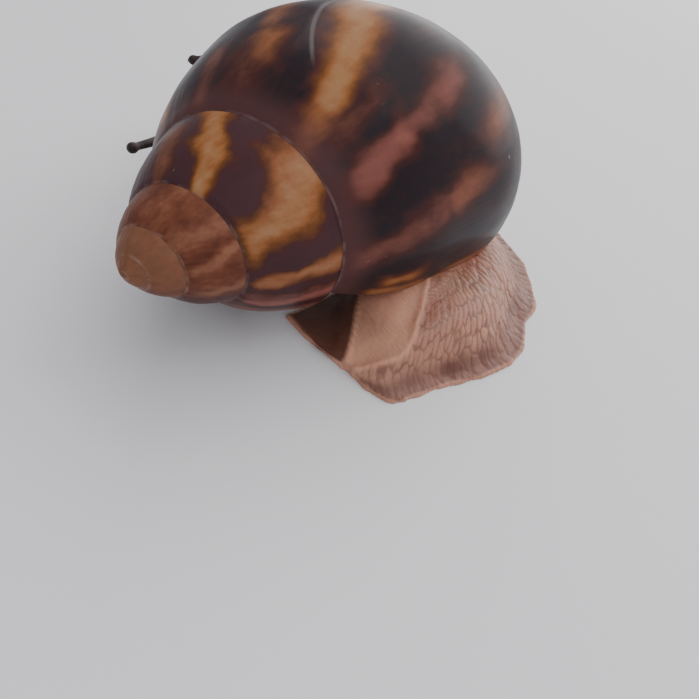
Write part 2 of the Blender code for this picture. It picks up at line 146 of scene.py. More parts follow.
# ---- heights and depths of the relief ----
GROWTH_WRINKLE = 0.05
WHORL_SWELL = 0.09
SUTURE_GROOVE = 0.07
SUTURE_RIDGE = 0.06
REST_GROOVE = 0.08
REST_STEP = 0.04
TUBERCLE = 0.19
FINE_WRINKLE = 0.045
MARGIN_GROOVE = 0.10
FRINGE_GROOVE = 0.07
KEEL_RIDGE = 0.25
CREST_RIDGE = 0.20
CREST_BEADS = 0.12
NECK_RIDGE = 0.20
HEAD_GROOVE = 0.28
SKIN_SWELL = 0.14
COLLAR_SWELL = 0.12
COLLAR_ROLL = 1.1

# ---- foot law, as in the solids ----
FOOT_PATH = (
    (1.0, 83.2), (6.5, 90.5), (12.5, 101.0), (15.5, 114.0), (13.0, 129.0), (4.0, 142.0),
    (-11.0, 148.7), (-27.0, 147.8), (-40.0, 142.5), (-47.0, 139.9), (-54.6, 137.5),
)
LEFT_REACH = (17.0, 18.0, 18.0, 19.0, 17.0, 14.5, 12.0, 10.0, 8.6, 8.0, 7.2)
RIGHT_REACH = (1.5, 11.5, 16.5, 20.5, 22.8, 21.5, 16.0, 11.5, 9.0, 8.0, 7.2)
BACK_HEIGHT = (1.2, 7.5, 10.4, 9.6, 9.4, 12.5, 14.6, 14.2, 13.6, 13.6, 13.6)
INNER_HEIGHT = (1.2, 9.0, 14.0, 18.0, 18.5, 17.5, 15.0, 14.2, 13.6, 13.6, 13.6)
LEFT_SHOULDER = (0.05, 0.5, 0.6, 0.55, 0.5, 0.42, 0.32, 0.3, 0.3, 0.3, 0.3)
RIGHT_SHOULDER = (0.0, 0.28, 0.3, 0.34, 0.3, 0.2, 0.16, 0.16, 0.2, 0.2, 0.2)
LEFT_FALL = (0.3, 0.3, 0.3, 0.3, 0.3, 0.4, 0.55, 0.62, 0.65, 0.65, 0.65)
MARGIN_LOBES = (  # on the right margin: share along the foot, spread, reach in millimetres
    (0.028, 0.042, 5.2),
    (0.145, 0.035, -1.6),
    (0.245, 0.022, 0.9),
    (0.303, 0.020, -1.2),
    (0.343, 0.015, 0.3),
    (0.460, 0.050, -1.8),
)
TAIL_BOW = 2.2  # how far the left of the tail's end bows backwards
TAIL_BOW_LENGTH = 0.09
SKIRT = 2.0
MARGIN = 0.8
NECK_END = 0.805
SOLE_FRONT = 2.2

# ---- how the skin is meshed and measured ----
FOOT_ROWS = 170
FOOT_PARTS = 34  # from the spine to each margin
PRESS = 0.35  # how far the back presses up into the shell that rests on it
SMOOTHING = 16  # rounds over the back's heights
EVENING = 4  # rounds of relaxing all over
JOINING = 30  # further rounds where soft parts meet
FOOT_SAMPLES = 420
PATH_SAMPLES = 60
KEEL_SAMPLES = 160
CELL_WIDTH = 1.2  # of the narrowest tubercles
CELL_GAIN = 0.8  # how much wider they are at their widest, this far along the foot
CELL_WIDEST = 34
CELL_SPREAD = 13
FINE_CELL = (0.8, 3.4)  # fine wrinkles, along and down
PEBBLE = 1.35  # cells of the neck and head
MANTLE_SPAN = 0.10  # turns of the mantle collar inside the shell's mouth
MANTLE_GAP = 1.15  # from the outer wall
MANTLE_CORE = 2.9  # from the axis
MANTLE_ROWS = 16
MANTLE_PARTS = (24, 30)  # of its outline: between the sutures, and on the base

# ---- head and tentacles: middles, widths and heights ----
HEAD_AXIS = (
    (-27.0, 147.4, 6.6),
    (-38.0, 143.2, 7.5),
    (-45.4, 140.4, 7.6),
    (-50.3, 138.8, 7.3),
    (-55.6, 137.2, 6.5),
)
HEAD_WIDTHS = (4.6, 6.9, 7.0, 6.7, 6.0)
HEAD_HEIGHTS = (4.6, 6.0, 6.4, 5.9, 4.9)
HEAD_TAPER = 0.68
HEAD_ROWS = (24, 17)  # up to the taper and past it
HEAD_SIDES = 48
CHIN = 1.4  # height of its underside
STALK_ROWS = 90
STALK_RADII = (1.55, 1.3, 1.1, 0.95, 0.80)
STALK_FLARE = (0.9, 2.2)  # how much wider its root is, and over what length
STALK_RINGS = (0.03, 5.2)  # height of its faint rings, and radians to a millimetre
UPPER_LEFT = ((-46.5, 138.0, 11.0), (-49.0, 126.2, 13.4), (-51.6, 116.9, 13.2), (-54.0, 108.9, 14.0))
UPPER_RIGHT = ((-47.5, 143.0, 11.0), (-50.5, 147.0, 16.5), (-53.8, 148.6, 18.8), (-58.05, 148.1, 17.5))
LOWER_LEFT = ((-51.5, 136.0, 5.5), (-54.5, 132.8, 4.6), (-57.0, 131.0, 3.4))
LOWER_RIGHT = ((-52.5, 141.0, 5.5), (-56.5, 142.8, 4.6), (-59.2, 143.8, 3.4))
TENTACLES = (UPPER_LEFT, UPPER_RIGHT, LOWER_LEFT, LOWER_RIGHT)
BULB = 1.2
BULB_ROWS = 22
FEELER_ROWS = 40
FEELER_RADII = (1.15, 0.75)  # of a lower tentacle, at its root and its end
FEELER_FLARE = (0.5, 0.2)  # how much wider its root is, and over what share of its length
FEELER_END = 0.12  # share of its length that is rounded off
MOUTH_FORMS = (  # centre and half sizes of the lips, the upper lip and the oral lappets
    ((-54.8, 134.6, 5.4), (1.7, 1.5, 1.6)),
    ((-56.1, 135.7, 4.3), (1.7, 1.5, 1.7)),
    ((-56.3, 138.5, 4.3), (1.7, 1.5, 1.7)),
    ((-56.2, 137.1, 5.6), (1.6, 2.2, 1.1)),
    ((-55.3, 133.9, 3.8), (1.4, 1.2, 1.3)),
    ((-56.0, 140.4, 3.8), (1.4, 1.2, 1.3)),
)

# ---- marks of the skin ----
KEEL_PATH = (
    (9.3, 110.0), (9.9, 103.3), (10.1, 99.5), (10.35, 95.6), (10.2, 91.9), (10.2, 88.6),
    (9.2, 86.0), (7.6, 84.9), (5.4, 83.9), (3.4, 83.1), (1.4, 82.2),
)
BLUSHES = (  # redder places: length along the foot, share of the way out, strength
    (16.6, 0.79, 1.25),
    (22.6, 0.80, 0.85),
    (7.5, 0.76, 0.35),
)
BLUSH_LENGTH = 2.3
BLUSH_WIDTH = 0.11

FLESH_NODES = (
    "tail", "foot", "neck", "front_of_sole", "head", "mouth", "mantle_collar",
    "upper_tentacle_left_root", "upper_tentacle_left_tip",
    "upper_tentacle_right_root", "upper_tentacle_right_tip",
    "lower_tentacle_left", "lower_tentacle_right",
)

# ---- stage: the camera's height is in millimetres, the floor and lights in metres ----
CAMERA_HEIGHT = 84.584
CAMERA_RIGHT = (0.945037, 0.225263, 0.236986)
CAMERA_UP = (-0.326965, 0.651094, 0.684961)
CAMERA_LENS = 32.96
FLOOR_REACH = 2.5
ROOM_TINT = (0.93, 0.95, 1.0, 1.0)
LAMPS = (  # place, size and tint of the lights
    ("window", (0.34, 0.78, 0.62), 1.8, (1.0, 0.985, 0.97)),
    ("room_fill", (0.30, -0.30, 0.50), 0.60, (0.95, 0.97, 1.0)),
)

# ---- tints that go with the looks' own colours ----
SPIRE_PLUM = (0.066, 0.026, 0.030)
SUTURE_PLUM = (0.112, 0.043, 0.040)
YOUNG_STOPS = (
    (0.25, (0.078, 0.022, 0.014)),
    (0.5, (0.150, 0.050, 0.028)),
    (0.75, (0.235, 0.100, 0.058)),
)
FIRST_WHORLS = (0.235, 0.110, 0.062)
SEAM_BODY = (0.19, 0.125, 0.115)
SEAM_SPIRE = (0.34, 0.22, 0.18)
REST_SCAR = (0.21, 0.18, 0.18)
# pale specks of the shell: partly worn spots, partly painted sheen
WORN_AND_SHEEN_SPECKS = (0.36, 0.27, 0.24)
BLUSH = (0.115, 0.032, 0.022)
COLLAR_PALE = (0.26, 0.15, 0.11)
COLLAR_DARK = (0.13, 0.075, 0.06)
COLLAR_RIM = (0.38, 0.25, 0.19)


# ---- curves and noise ----


def monotone(values, at):
    """A smooth curve through values at 0, 1, 2 ... that never overshoots."""
    values = np.array(values, float)
    steps = np.diff(values)
    slopes = np.empty(len(values))
    slopes[1:-1] = 2 * steps[1:] * steps[:-1] / (steps[1:] + steps[:-1])
    slopes[0] = (3 * steps[0] - steps[1]) / 2
    slopes[-1] = (3 * steps[-1] - steps[-2]) / 2
    slopes = np.clip(slopes, 0, None)
    at = np.asarray(at, float)
    k = np.clip(np.floor(at).astype(int), 0, len(steps) - 1)
    t = at - k
    low, high = values[k], values[k + 1]
    return (
        low * (1 + 2 * t) * (1 - t) ** 2
        + slopes[k] * t * (1 - t) ** 2
        + high * t**2 * (3 - 2 * t)
        + slopes[k + 1] * t**2 * (t - 1)
    )


def smooth_path(knots, at):
    """Catmull-Rom curve through the knots; at runs from 0 to 1 over equal spans."""
    knots = np.array(knots, float)
    padded = np.concatenate([[2 * knots[0] - knots[1]], knots, [2 * knots[-1] - knots[-2]]])
    position = np.clip(np.asarray(at, float), 0, 1) * (len(knots) - 1)
    k = np.minimum(position.astype(int), len(knots) - 2)
    t = position - k
    if knots.ndim > 1:
        t = t[..., None]
    a, b, c, d = padded[k], padded[k + 1], padded[k + 2], padded[k + 3]
    return b + 0.5 * t * (c - a + t * (2 * a - 5 * b + 4 * c - d + t * (3 * (b - c) + d - a)))


def ease(low, high, values):
    """0 below low, 1 above high and a smooth step between."""
    t = np.clip((np.asarray(values, float) - low) / (high - low), 0, 1)
    return t * t * (3 - 2 * t)


def fade(low, high, values):
    """1 below low, 0 above high and a smooth step between."""
    return 1 - ease(low, high, values)


def hill(values, centre, width):
    """A bell curve that is 1 at the centre."""
    return np.exp(-(((values - centre) / width) ** 2))


def in_plane(first, second):
    """Points (n, 3) with no height, for noise or cells in a plane."""
    return np.stack([first, second, np.zeros_like(first)], axis=1)


def unit(vectors):
    return vectors / np.maximum(np.linalg.norm(vectors, axis=-1, keepdims=True), 1e-9)


def hashed(x, y, z, seed):
    """A repeatable random number from 0 to 1 for each whole-number point."""
    mixed = (x.astype(np.int64) * 73856093) ^ (y.astype(np.int64) * 19349663)
    mixed = (mixed ^ (z.astype(np.int64) * 83492791) ^ (seed * 40503)) & 0xFFFFFFFF
    mixed = ((mixed ^ (mixed >> 15)) * 2246822519) & 0xFFFFFFFF
    mixed = ((mixed ^ (mixed >> 13)) * 3266489917) & 0xFFFFFFFF
    return (mixed ^ (mixed >> 16)) / 4294967296.0


def soft_noise(points, seed, octaves=1):
    """Smooth noise from -1 to 1 at points (n, 3)."""
    total, scale, weight, whole = 0.0, 1.0, 1.0, 0.0
    for octave in range(octaves):
        spot = points * scale
        cell = np.floor(spot).astype(int)
        t = spot - cell
        t = t * t * (3 - 2 * t)
        value = 0.0
        for ahead in product((0, 1), repeat=3):
            share = np.where(ahead, t, 1 - t).prod(axis=1)
            value = value + share * hashed(*(cell + ahead).T, seed + octave)
        total = total + weight * (2 * value - 1)
        whole += weight
        scale *= 2.03
        weight *= 0.5
    return total / whole


def cells(points, seed, flat=False):
    """0 on the walls between cells round scattered centres, and more toward their middles."""
    home = np.floor(points).astype(int)
    near = np.full(len(points), 9.0)
    second = np.full(len(points), 9.0)
    for step in product((-1, 0, 1), (-1, 0, 1), (0,) if flat else (-1, 0, 1)):
        at = home + step
        jitter = [hashed(*at.T, seed + k) for k in range(3)]
        offset = points - at - 0.1 - 0.8 * np.stack(jitter, axis=1)
        if flat:
            offset[:, 2] = 0
        distance = np.linalg.norm(offset, axis=1)
        second = np.minimum(second, np.maximum(near, distance))
        near = np.minimum(near, distance)
    return second - near


# ---- meshes ----


def in_metres(points):
    """From the working plan to the frame of the solids."""
    return (np.asarray(points, float) - (CENTRE[0], CENTRE[1], 0.0)) * MM


def link(name, data):
    made = bpy.data.objects.new(name, data)
    bpy.context.scene.collection.objects.link(made)
    return made


def make_object(name, points, faces, attributes):
    """A smooth-shaded mesh object in metres, with named values at its points."""
    mesh = bpy.data.meshes.new(name)
    mesh.from_pydata(in_metres(points), [], faces)
    for key, values in attributes.items():
        layer = mesh.attributes.new(key, "FLOAT", "POINT")
        layer.data.foreach_set("value", np.asarray(values, np.float32))
    mesh.shade_smooth()
    mesh.validate()
    return link(name, mesh)


def grid_faces(rows, columns, closed=False, start=0):
    """Quads over a grid of points, row by row; closed joins the last column to the first."""
    faces = []
    for i in range(rows - 1):
        for j in range(columns if closed else columns - 1):
            k = (j + 1) % columns
            a = start + i * columns
            faces.append((a + j, a + k, a + columns + k, a + columns + j))
    return faces


def turn_outwards(mesh):
    bm = bmesh.new()
    bm.from_mesh(mesh)
    bmesh.ops.recalc_face_normals(bm, faces=bm.faces)
    bm.to_mesh(mesh)
    bm.free()


# ---- shell ----


def whorl_outline(whorl, band_parts=BAND_PARTS, base_parts=BASE_PARTS):
    """(radius, drop) down the wall at this whorl: the band between sutures, then the base."""
    upper = max(whorl, 0.0)
    r0, r1 = monotone(SUTURE_RADII, upper), monotone(SUTURE_RADII, whorl + 1)
    z0, z1 = monotone(SUTURE_DROPS, upper), monotone(SUTURE_DROPS, whorl + 1)
    chord = np.array([r1 - r0, z1 - z0])
    outward = np.array([chord[1], -chord[0]])
    u = np.linspace(0, 1, band_parts + 1)
    swell = WHORL_BULGE * np.sin(math.pi * u**BULGE_SKEW)
    band = np.array([r0, z0]) + u[:, None] * chord + swell[:, None] * outward
    tangent = chord - math.pi * BULGE_SKEW * WHORL_BULGE * outward
    tangent /= np.linalg.norm(tangent)
    past = whorl - WHORLS
    sweep, curl, angle = (low + slope * past for low, slope in (BASE_SWEEP, BASE_CURL, BASE_ANGLE))
    size = math.exp(BASE_GROWTH * past)
    end = np.array([0.0, BASE_DROP * size])
    reach = np.linalg.norm(end - band[-1])
    arrival = np.array([-math.cos(angle), math.sin(angle)])
    p1 = band[-1] + tangent * sweep * reach
    p2 = end - arrival * max(curl, 0.0) * reach
    t = np.linspace(0, 1, base_parts + 1)[1:, None]
    base = (1 - t) ** 3 * band[-1] + 3 * (1 - t) ** 2 * t * p1 + 3 * (1 - t) * t**2 * p2 + t**3 * end
    near = np.clip(1 - base[:, 0] / (COLUMELLA_REACH * size), 0, 1)
    base[:, 1] -= COLUMELLA_RISE * size * near**2
    return np.vstack([band, base])


def shell_frame():
    """Apex, axis, the lip's direction from the axis, and the way the whorl grows there."""
    axis = np.array(
        [
            math.cos(AXIS_RISE) * math.cos(AXIS_AZIMUTH),
            math.cos(AXIS_RISE) * math.sin(AXIS_AZIMUTH),
            math.sin(AXIS_RISE),
        ]
    )
    right = unit(np.cross(axis, (0, 0, 1)))
    up = np.cross(right, axis)
    lip = math.cos(LIP_DIP) * right + math.sin(LIP_DIP) * up
    return np.array(APEX), axis, lip, np.cross(axis, lip)


def around_axis(whorl, outline):
    """Places an outline in (radius, drop) at its turn round the shell's axis."""
    apex, axis, lip, growth = shell_frame()
    turn = 2 * math.pi * (whorl - WHORLS)
    radial = math.cos(turn) * lip + math.sin(turn) * growth
    return apex + outline[:, 1:2] * axis + outline[:, 0:1] * radial


def inset(curve, distance):
    """Moves an open curve in (radius, drop) sideways, to the right of its direction."""
    along = unit(np.gradient(curve, axis=0))
    return curve + distance * np.stack([-along[:, 1], along[:, 0]], axis=1)


def hidden_flames():
    """More flames of the same kind for the sides of the shell that face away."""
    spread = np.random.default_rng(11)
    made = []
    for turn, end, gap, bright in HIDDEN_FLAMES:
        while turn < end:
            width = 0.013 + 0.010 * spread.random()
            light = bright + 0.4 * (spread.random() - 0.35)
            first = -0.1 + 0.3 * spread.random()
            last = 1.1 + 0.6 * spread.random()
            made.append((turn, turn - HIDDEN_SLANT, width, first, last, light, spread.random()))
            turn += gap * (0.75 + 0.5 * spread.random())
    return made


def flame_field(turn, down):
    """Lightness and warmth of the flames at each point of the shell."""
    warp = 0.009 * soft_noise(in_plane(turn * 9, down * 2.2), 3, 2)
    warp = warp + 0.006 * soft_noise(in_plane(turn * 45, down * 7), 5, 2)
    light = np.zeros_like(turn)
    warm = np.zeros_like(turn)
    for k, flame in enumerate((*BODY_FLAMES, *SPIRE_FLAMES, *hidden_flames())):
        top, low, half, first, last, bright, warmth = flame
        centre = top + (low - top) * down**0.92 + warp
        wide = half * (1 + 0.35 * soft_noise(in_plane(down * 4, np.full_like(down, k)), 9))
        across = np.exp(-0.8 * np.abs((turn - centre) / wide) ** 2.6)
        along = ease(first - 0.08, first + 0.12, down) * fade(last - 0.12, last + 0.1, down)
        near = bright * across * along
        warm = np.where(near > 0.02, (warm * light + warmth * near) / (light + near + 1e-6), warm)
        light = np.maximum(light, near)
    edge = ease(WHORLS - 0.022, WHORLS - 0.010, turn + warp) * ease(0.15, 0.3, down)
    return np.maximum(light, EDGE_LIGHTNESS * edge), warm * (1 - edge) + EDGE_WARMTH * edge


def shell_rows():
    """The turns at which the outline is placed: coarser on the spire than on the body whorl."""
    spire = np.arange(FIRST_TURN, WHORLS - BODY_SPAN, 1 / SPIRE_STEPS)
    body = np.linspace(WHORLS - BODY_SPAN, WHORLS, round(BODY_SPAN * BODY_STEPS))
    return np.concatenate([spire, body]), len(spire)


def rest_line(down):
    """The turn at which the shell once stopped growing for a while."""
    return REST_TURN + REST_SWEEP * np.clip((1.25 - down) / 0.7, 0, 2) ** 2.2


def shell_relief(turn, down):
    """Outward relief in millimetres: growth wrinkles, the suture's groove and a rest line."""
    size = 0.35 + 0.65 * ease(1.0, 3.8, turn)
    wrinkle = GROWTH_WRINKLE * soft_noise(in_plane(turn * 75, down * 1.6), 21, 2)
    swell = WHORL_SWELL * soft_noise(in_plane(turn * 14, down * 3.0), 23)
    groove = SUTURE_RIDGE * hill(down, 0.07, 0.035) - SUTURE_GROOVE * hill(down, 0, 0.022)
    rest = turn - rest_line(down)
    line = REST_STEP * ease(-0.01, 0.0, rest) * fade(0.0, 0.02, rest) - REST_GROOVE * hill(rest, 0, 0.0022)
    return size * (wrinkle + swell + groove + line * ease(0.45, 0.6, down))


def shell_mesh():
    """Outer wall, lip, inner wall and columella as one mesh, with its pattern as values."""
    rows, first_body = shell_rows()
    places = np.array([around_axis(w, whorl_outline(w)) for w in rows])
    count, width = places.shape[:2]
    turn = np.repeat(rows[:, None], width, axis=1)
    steps = np.concatenate([np.linspace(0, 1, BAND_PARTS + 1), 1 + np.linspace(0, 1, BASE_PARTS + 1)[1:]])
    down = np.repeat(steps[None, :], count, axis=0)
    normals = unit(np.cross(np.gradient(places, axis=1), np.gradient(places, axis=0)))
    axis_point = np.array(APEX) + 0.5 * BASE_DROP * shell_frame()[1]
    sample = (-BODY_STEPS // 2, BAND_PARTS // 2)
    if np.dot(normals[sample], places[sample] - axis_point) < 0:
        normals = -normals
    relief = shell_relief(turn.ravel(), down.ravel()).reshape(turn.shape)
    places = places + normals * (relief * np.minimum(1, 3.2 * (2 - down)))[..., None]
    arc = np.cumsum(np.linalg.norm(np.diff(places, axis=1, prepend=places[:, :1]), axis=2), axis=1)
    points = list(places.reshape(-1, 3))
    faces = [f for f in grid_faces(first_body + 1, width) if f[0] % width < BAND_PARTS]
    faces += grid_faces(count - first_body, width, start=first_body * width)
    light, warm = flame_field(turn.ravel(), down.ravel())
    values = {
        "turn": turn,
        "from_rest": turn - rest_line(down),
        "down": down,
        "flame_light": light,
        "flame_warmth": warm,
        "from_suture": arc,
        "inside": np.zeros_like(turn),
    }
    values = {key: list(grid.ravel()) for key, grid in values.items()}

    def add_points(new, **given):
        start = len(points)
        points.extend(new)
        for key, extra in {**OFF_PATTERN, **given}.items():
            values[key].extend(np.broadcast_to(extra, len(new)))
        return start

    # the rounded lip, then the inner wall behind it
    growth = shell_frame()[3]
    edges = [(count - 1) * width]
    for depth, ahead, inside in LIP_ROUNDING:
        edge = around_axis(WHORLS, inset(whorl_outline(WHORLS), depth)) + ahead * growth
        edges.append(add_points(edge, turn=WHORLS, down=steps, inside=inside))
    for whorl in np.linspace(WHORLS, WHORLS - INNER_SPAN, INNER_ROWS):
        edge = around_axis(whorl, inset(whorl_outline(whorl), WALL))
        edges.append(add_points(edge, turn=whorl, down=steps, inside=1.0))
    for a, b in zip(edges[:-1], edges[1:]):
        faces += [(a + j, a + j + 1, b + j + 1, b + j) for j in range(int(LIP_SHARE * width))]

    # the columella
    drops = np.linspace(PILLAR_TOP, PILLAR_BOTTOM, PILLAR_ROWS)
    radii = PILLAR_RADIUS * np.sqrt(np.clip(1 - ((drops - PILLAR_TOP) / PILLAR_LENGTH) ** 8, 0.0, 1))
    radii = radii * (0.8 + 0.2 * ease(PILLAR_TOP + 10, PILLAR_TOP, drops))
    pillar = []
    for radius, drop in zip(radii, drops):
        spot = np.array([[radius, drop]])
        pillar.extend(around_axis(k / PILLAR_SIDES, spot)[0] for k in range(PILLAR_SIDES))
    start = add_points(pillar, turn=WHORLS - 0.1, down=2.0, inside=1.0)
    faces += grid_faces(len(drops), PILLAR_SIDES, closed=True, start=start)
    return np.array(points), faces, values


def drop_loose(points, faces, values):
    """Keeps only the points that faces use."""
    used = np.unique(np.concatenate([np.array(f) for f in faces]))
    place = np.full(len(points), -1)
    place[used] = np.arange(len(used))
    faces = [tuple(int(k) for k in place[list(f)]) for f in faces]
    return points[used], faces, {key: np.asarray(v)[used] for key, v in values.items()}


# ---- soft forms of the body ----


def side_height(share, back, inner, shoulder, fall):
    """Height of the flesh at a share of the way from the spine (0) to the margin (1)."""
    crest = back + (inner - back) * np.clip(share / np.maximum(shoulder, 0.01), 0, 1)
    down = np.clip((share - shoulder) / fall, 0, 1)
    skirt = MARGIN + (SKIRT - MARGIN) * (1 - share)
    return skirt + np.maximum(crest - skirt, 0) * (0.5 + 0.5 * np.cos(math.pi * down))


def ceiling(tree, x, y, reach=0.8):
    """The lowest thing overhead near (x, y), seen from the floor."""
    lowest = 1000.0
    for dx, dy in product((-reach, 0.0, reach), repeat=2):
        hit = tree.ray_cast(Vector((x + dx, y + dy, -5.0)), Vector((0, 0, 1)))
        if hit[0] is not None:
            lowest = min(lowest, hit[0].z)
    return lowest


def margin_lobes(share):
    """What the lobes add to the right margin's reach."""
    return sum(reach * hill(share, at, spread) for at, spread, reach in MARGIN_LOBES)


def foot_rings(tree):
    """Closed rings across the body from the tail tip to the front of the sole."""
    rows = (LEFT_REACH, RIGHT_REACH, BACK_HEIGHT, INNER_HEIGHT, LEFT_SHOULDER, RIGHT_SHOULDER, LEFT_FALL)
    stations = np.column_stack([FOOT_PATH, np.transpose(rows)])
    sides = np.linspace(-1, 1, 2 * FOOT_PARTS + 1)
    places, heights = [], []
    for share in np.linspace(0, 1, FOOT_ROWS):
        x, y, left, right, back, inner, left_shoulder, right_shoulder, fall = smooth_path(stations, share)
        ahead = unit(smooth_path(FOOT_PATH, share + 0.004) - smooth_path(FOOT_PATH, share - 0.004))
        across = np.array([ahead[1], -ahead[0]])
        front = min((share - NECK_END) / (1 - NECK_END), 0.995)
        rounding = math.sqrt(1 - max(front, 0.0) ** 3)
        scallop = 0.22 * math.sin(97 * share) + 0.18 * math.sin(211 * share + 2) * math.sin(29 * share)
        reach = np.where(sides > 0, right + margin_lobes(share) + scallop, left + 0.5 * scallop) * rounding
        bow = TAIL_BOW * max(0.0, 1 - share / TAIL_BOW_LENGTH) ** 2 * ease(0.05, 0.45, -sides)
        places.append(np.array([x, y]) + across * (sides * reach)[:, None] - ahead * bow[:, None])
        lean_right = side_height(sides, back, back, right_shoulder, 0.93 - right_shoulder)
        lean_left = side_height(-sides, back, inner, left_shoulder, fall)
        height = np.where(sides > 0, lean_right, lean_left)
        height = np.minimum(height, SOLE_FRONT + (height - SOLE_FRONT) * fade(-0.15, 0.62, front))
        heights.append(height)
    places, heights = np.array(places), np.array(heights)
    limits = np.array([[ceiling(tree, *place) for place in row] for row in places]) + PRESS
    heights = np.minimum(heights, limits)
    for step in range(SMOOTHING):
        padded = np.pad(heights, 1, mode="edge")
        along = 0.25 * padded[:-2, 1:-1] + 0.5 * heights + 0.25 * padded[2:, 1:-1]
        across = 0.25 * padded[1:-1, :-2] + 0.5 * heights + 0.25 * padded[1:-1, 2:]
        heights = np.minimum(across if step % 4 == 3 else along, limits)
    tops = np.dstack([places, np.maximum(heights, 0.5)])
    under = np.dstack([places, np.full(heights.shape, -1.0)])
    return np.concatenate([tops, under[:, ::-1]], axis=1)


def tube_rings(centres, widths, heights, sides=24, lowest=-math.inf):
    """Oval rings along a path."""
    centres = np.array(centres, float)
    along = unit(np.gradient(centres, axis=0))
    across = unit(np.cross(along, (0.0, 0.0, 1.0)))
    over = np.cross(across, along)
    turn = np.linspace(0, 2 * math.pi, sides, endpoint=False)
    rings = centres[:, None] + np.cos(turn)[None, :, None] * (widths[:, None, None] * across[:, None])
    rings = rings + np.sin(turn)[None, :, None] * (heights[:, None, None] * over[:, None])
    rings[..., 2] = np.maximum(rings[..., 2], lowest)
    return rings


def head_rings():
    """The head, flat below and rounded off in front."""
    rest = 1 - HEAD_TAPER
    bend = HEAD_TAPER + rest * np.sin(np.linspace(0, math.pi / 2, HEAD_ROWS[1] + 1)[1:])
    shares = np.concatenate([np.linspace(0, HEAD_TAPER, HEAD_ROWS[0]), bend])
    taper = np.sqrt(np.clip(1 - np.clip((shares - HEAD_TAPER) / rest, 0, 1) ** 2.4, 0.003, 1))
    widths = smooth_path(HEAD_WIDTHS, shares) * taper
    heights = smooth_path(HEAD_HEIGHTS, shares) * taper
    return tube_rings(smooth_path(HEAD_AXIS, shares), widths, heights, HEAD_SIDES, CHIN)


def upper_tentacle_rings(axis):
    """Stalk with a flared root and a rounded bulb."""
    shares = np.linspace(0, 1, STALK_ROWS)
    path = smooth_path(axis, shares)
    length = np.linalg.norm(np.diff(path, axis=0), axis=1).sum()
    away = shares * length
    radii = smooth_path(STALK_RADII, shares) + STALK_FLARE[0] * hill(away, 0, STALK_FLARE[1])
    radii = radii + STALK_RINGS[0] * np.sin(away * STALK_RINGS[1]) * ease(2, 5, away)
    tip, way = path[-1], unit(path[-1] - path[-2])
    ends = np.sin(np.linspace(-0.5 * math.pi, 0.5 * math.pi, BULB_ROWS)) * 0.998
    bulb = np.array([tip + way * BULB * (1.12 * e + 0.02) for e in ends])
    bulb_radii = BULB * np.sqrt(1 - ends**2)
    keep = away < length - 0.6 * BULB
    return tube_rings(path[keep], radii[keep], radii[keep]), tube_rings(bulb, bulb_radii, bulb_radii)


def lower_tentacle_rings(axis):
    """A short tapered feeler with a rounded end."""
    shares = np.linspace(0, 1, FEELER_ROWS)
    end = np.clip((1 - shares) / FEELER_END, 0, 1)
    rounded = np.sqrt(end * (2 - end))
    radii = smooth_path(FEELER_RADII, shares) + FEELER_FLARE[0] * hill(shares, 0, FEELER_FLARE[1])
    widths = np.maximum(radii * rounded, 0.02)
    return tube_rings(smooth_path(axis, shares), widths, widths)


def mouth_rings():
    """Rounded forms for the lips and lappets round the mouth."""
    turn = np.linspace(-math.pi / 2, math.pi / 2, 14)
    around = np.linspace(0, 2 * math.pi, 20, endpoint=False)
    wide = np.maximum(np.cos(turn), 0.02)[:, None]
    made = []
    for centre, (rx, ry, rz) in MOUTH_FORMS:
        x, y = rx * wide * np.cos(around), ry * wide * np.sin(around)
        z = np.broadcast_to(rz * np.sin(turn)[:, None], x.shape)
        made.append(np.array(centre) + np.dstack([x, y, z]))
    return made


def mantle_rings():
    """The mantle collar, which fills the aperture and swells a little past its plane."""
    rings = []
    for whorl in np.linspace(WHORLS - MANTLE_SPAN, WHORLS + 0.001, MANTLE_ROWS):
        outer = inset(whorl_outline(whorl, *MANTLE_PARTS), MANTLE_GAP)[3:-4]
        inner = inset(whorl_outline(whorl - 1, *MANTLE_PARTS), -0.4)[MANTLE_PARTS[0] + 1:-4]
        inner[:, 0] = np.maximum(inner[:, 0], MANTLE_CORE)
        rings.append(around_axis(whorl, np.vstack([outer, inner[::-1]])))
    return np.array(rings)


def add_rings(points, faces, rings):
    """Adds a closed form: its rings, and a cap at each end."""
    start = len(points)
    rows, columns = rings.shape[:2]
    points.extend(rings.reshape(-1, 3))
    faces.extend(grid_faces(rows, columns, closed=True, start=start))
    faces.append(tuple(range(start, start + columns)))
    faces.append(tuple(range(start + (rows - 1) * columns, start + rows * columns)))


def one_skin(tree, voxel):
    """Joins the soft forms into one even skin; returns its points in millimetres and its faces."""
    points, faces = [], []
    forms = [foot_rings(tree), head_rings(), mantle_rings(), *mouth_rings()]
    for axis in (UPPER_LEFT, UPPER_RIGHT):
        forms.extend(upper_tentacle_rings(axis))
    for axis in (LOWER_LEFT, LOWER_RIGHT):
        forms.append(lower_tentacle_rings(axis))
    for rings in forms:
        add_rings(points, faces, rings)
    mesh = bpy.data.meshes.new("soft_forms")
    mesh.from_pydata(points, [], faces)
    turn_outwards(mesh)
    obj = link("soft_forms", mesh)
    remesh = obj.modifiers.new("one_skin", "REMESH")
    remesh.mode = "VOXEL"
    remesh.voxel_size = voxel
    even = obj.evaluated_get(bpy.context.evaluated_depsgraph_get())
    made = even.to_mesh()
    places = np.empty(3 * len(made.vertices), np.float32)
    made.vertices.foreach_get("co", places)
    loops = np.empty(len(made.loops), np.int32)
    made.loops.foreach_get("vertex_index", loops)
    even.to_mesh_clear()
    bpy.data.objects.remove(obj)
    places, faces = places.reshape(-1, 3).astype(float), loops.reshape(-1, 4)
    places = relax(places, faces, 1.0, EVENING)
    return relax(places, faces, soft_joins(places), JOINING), faces


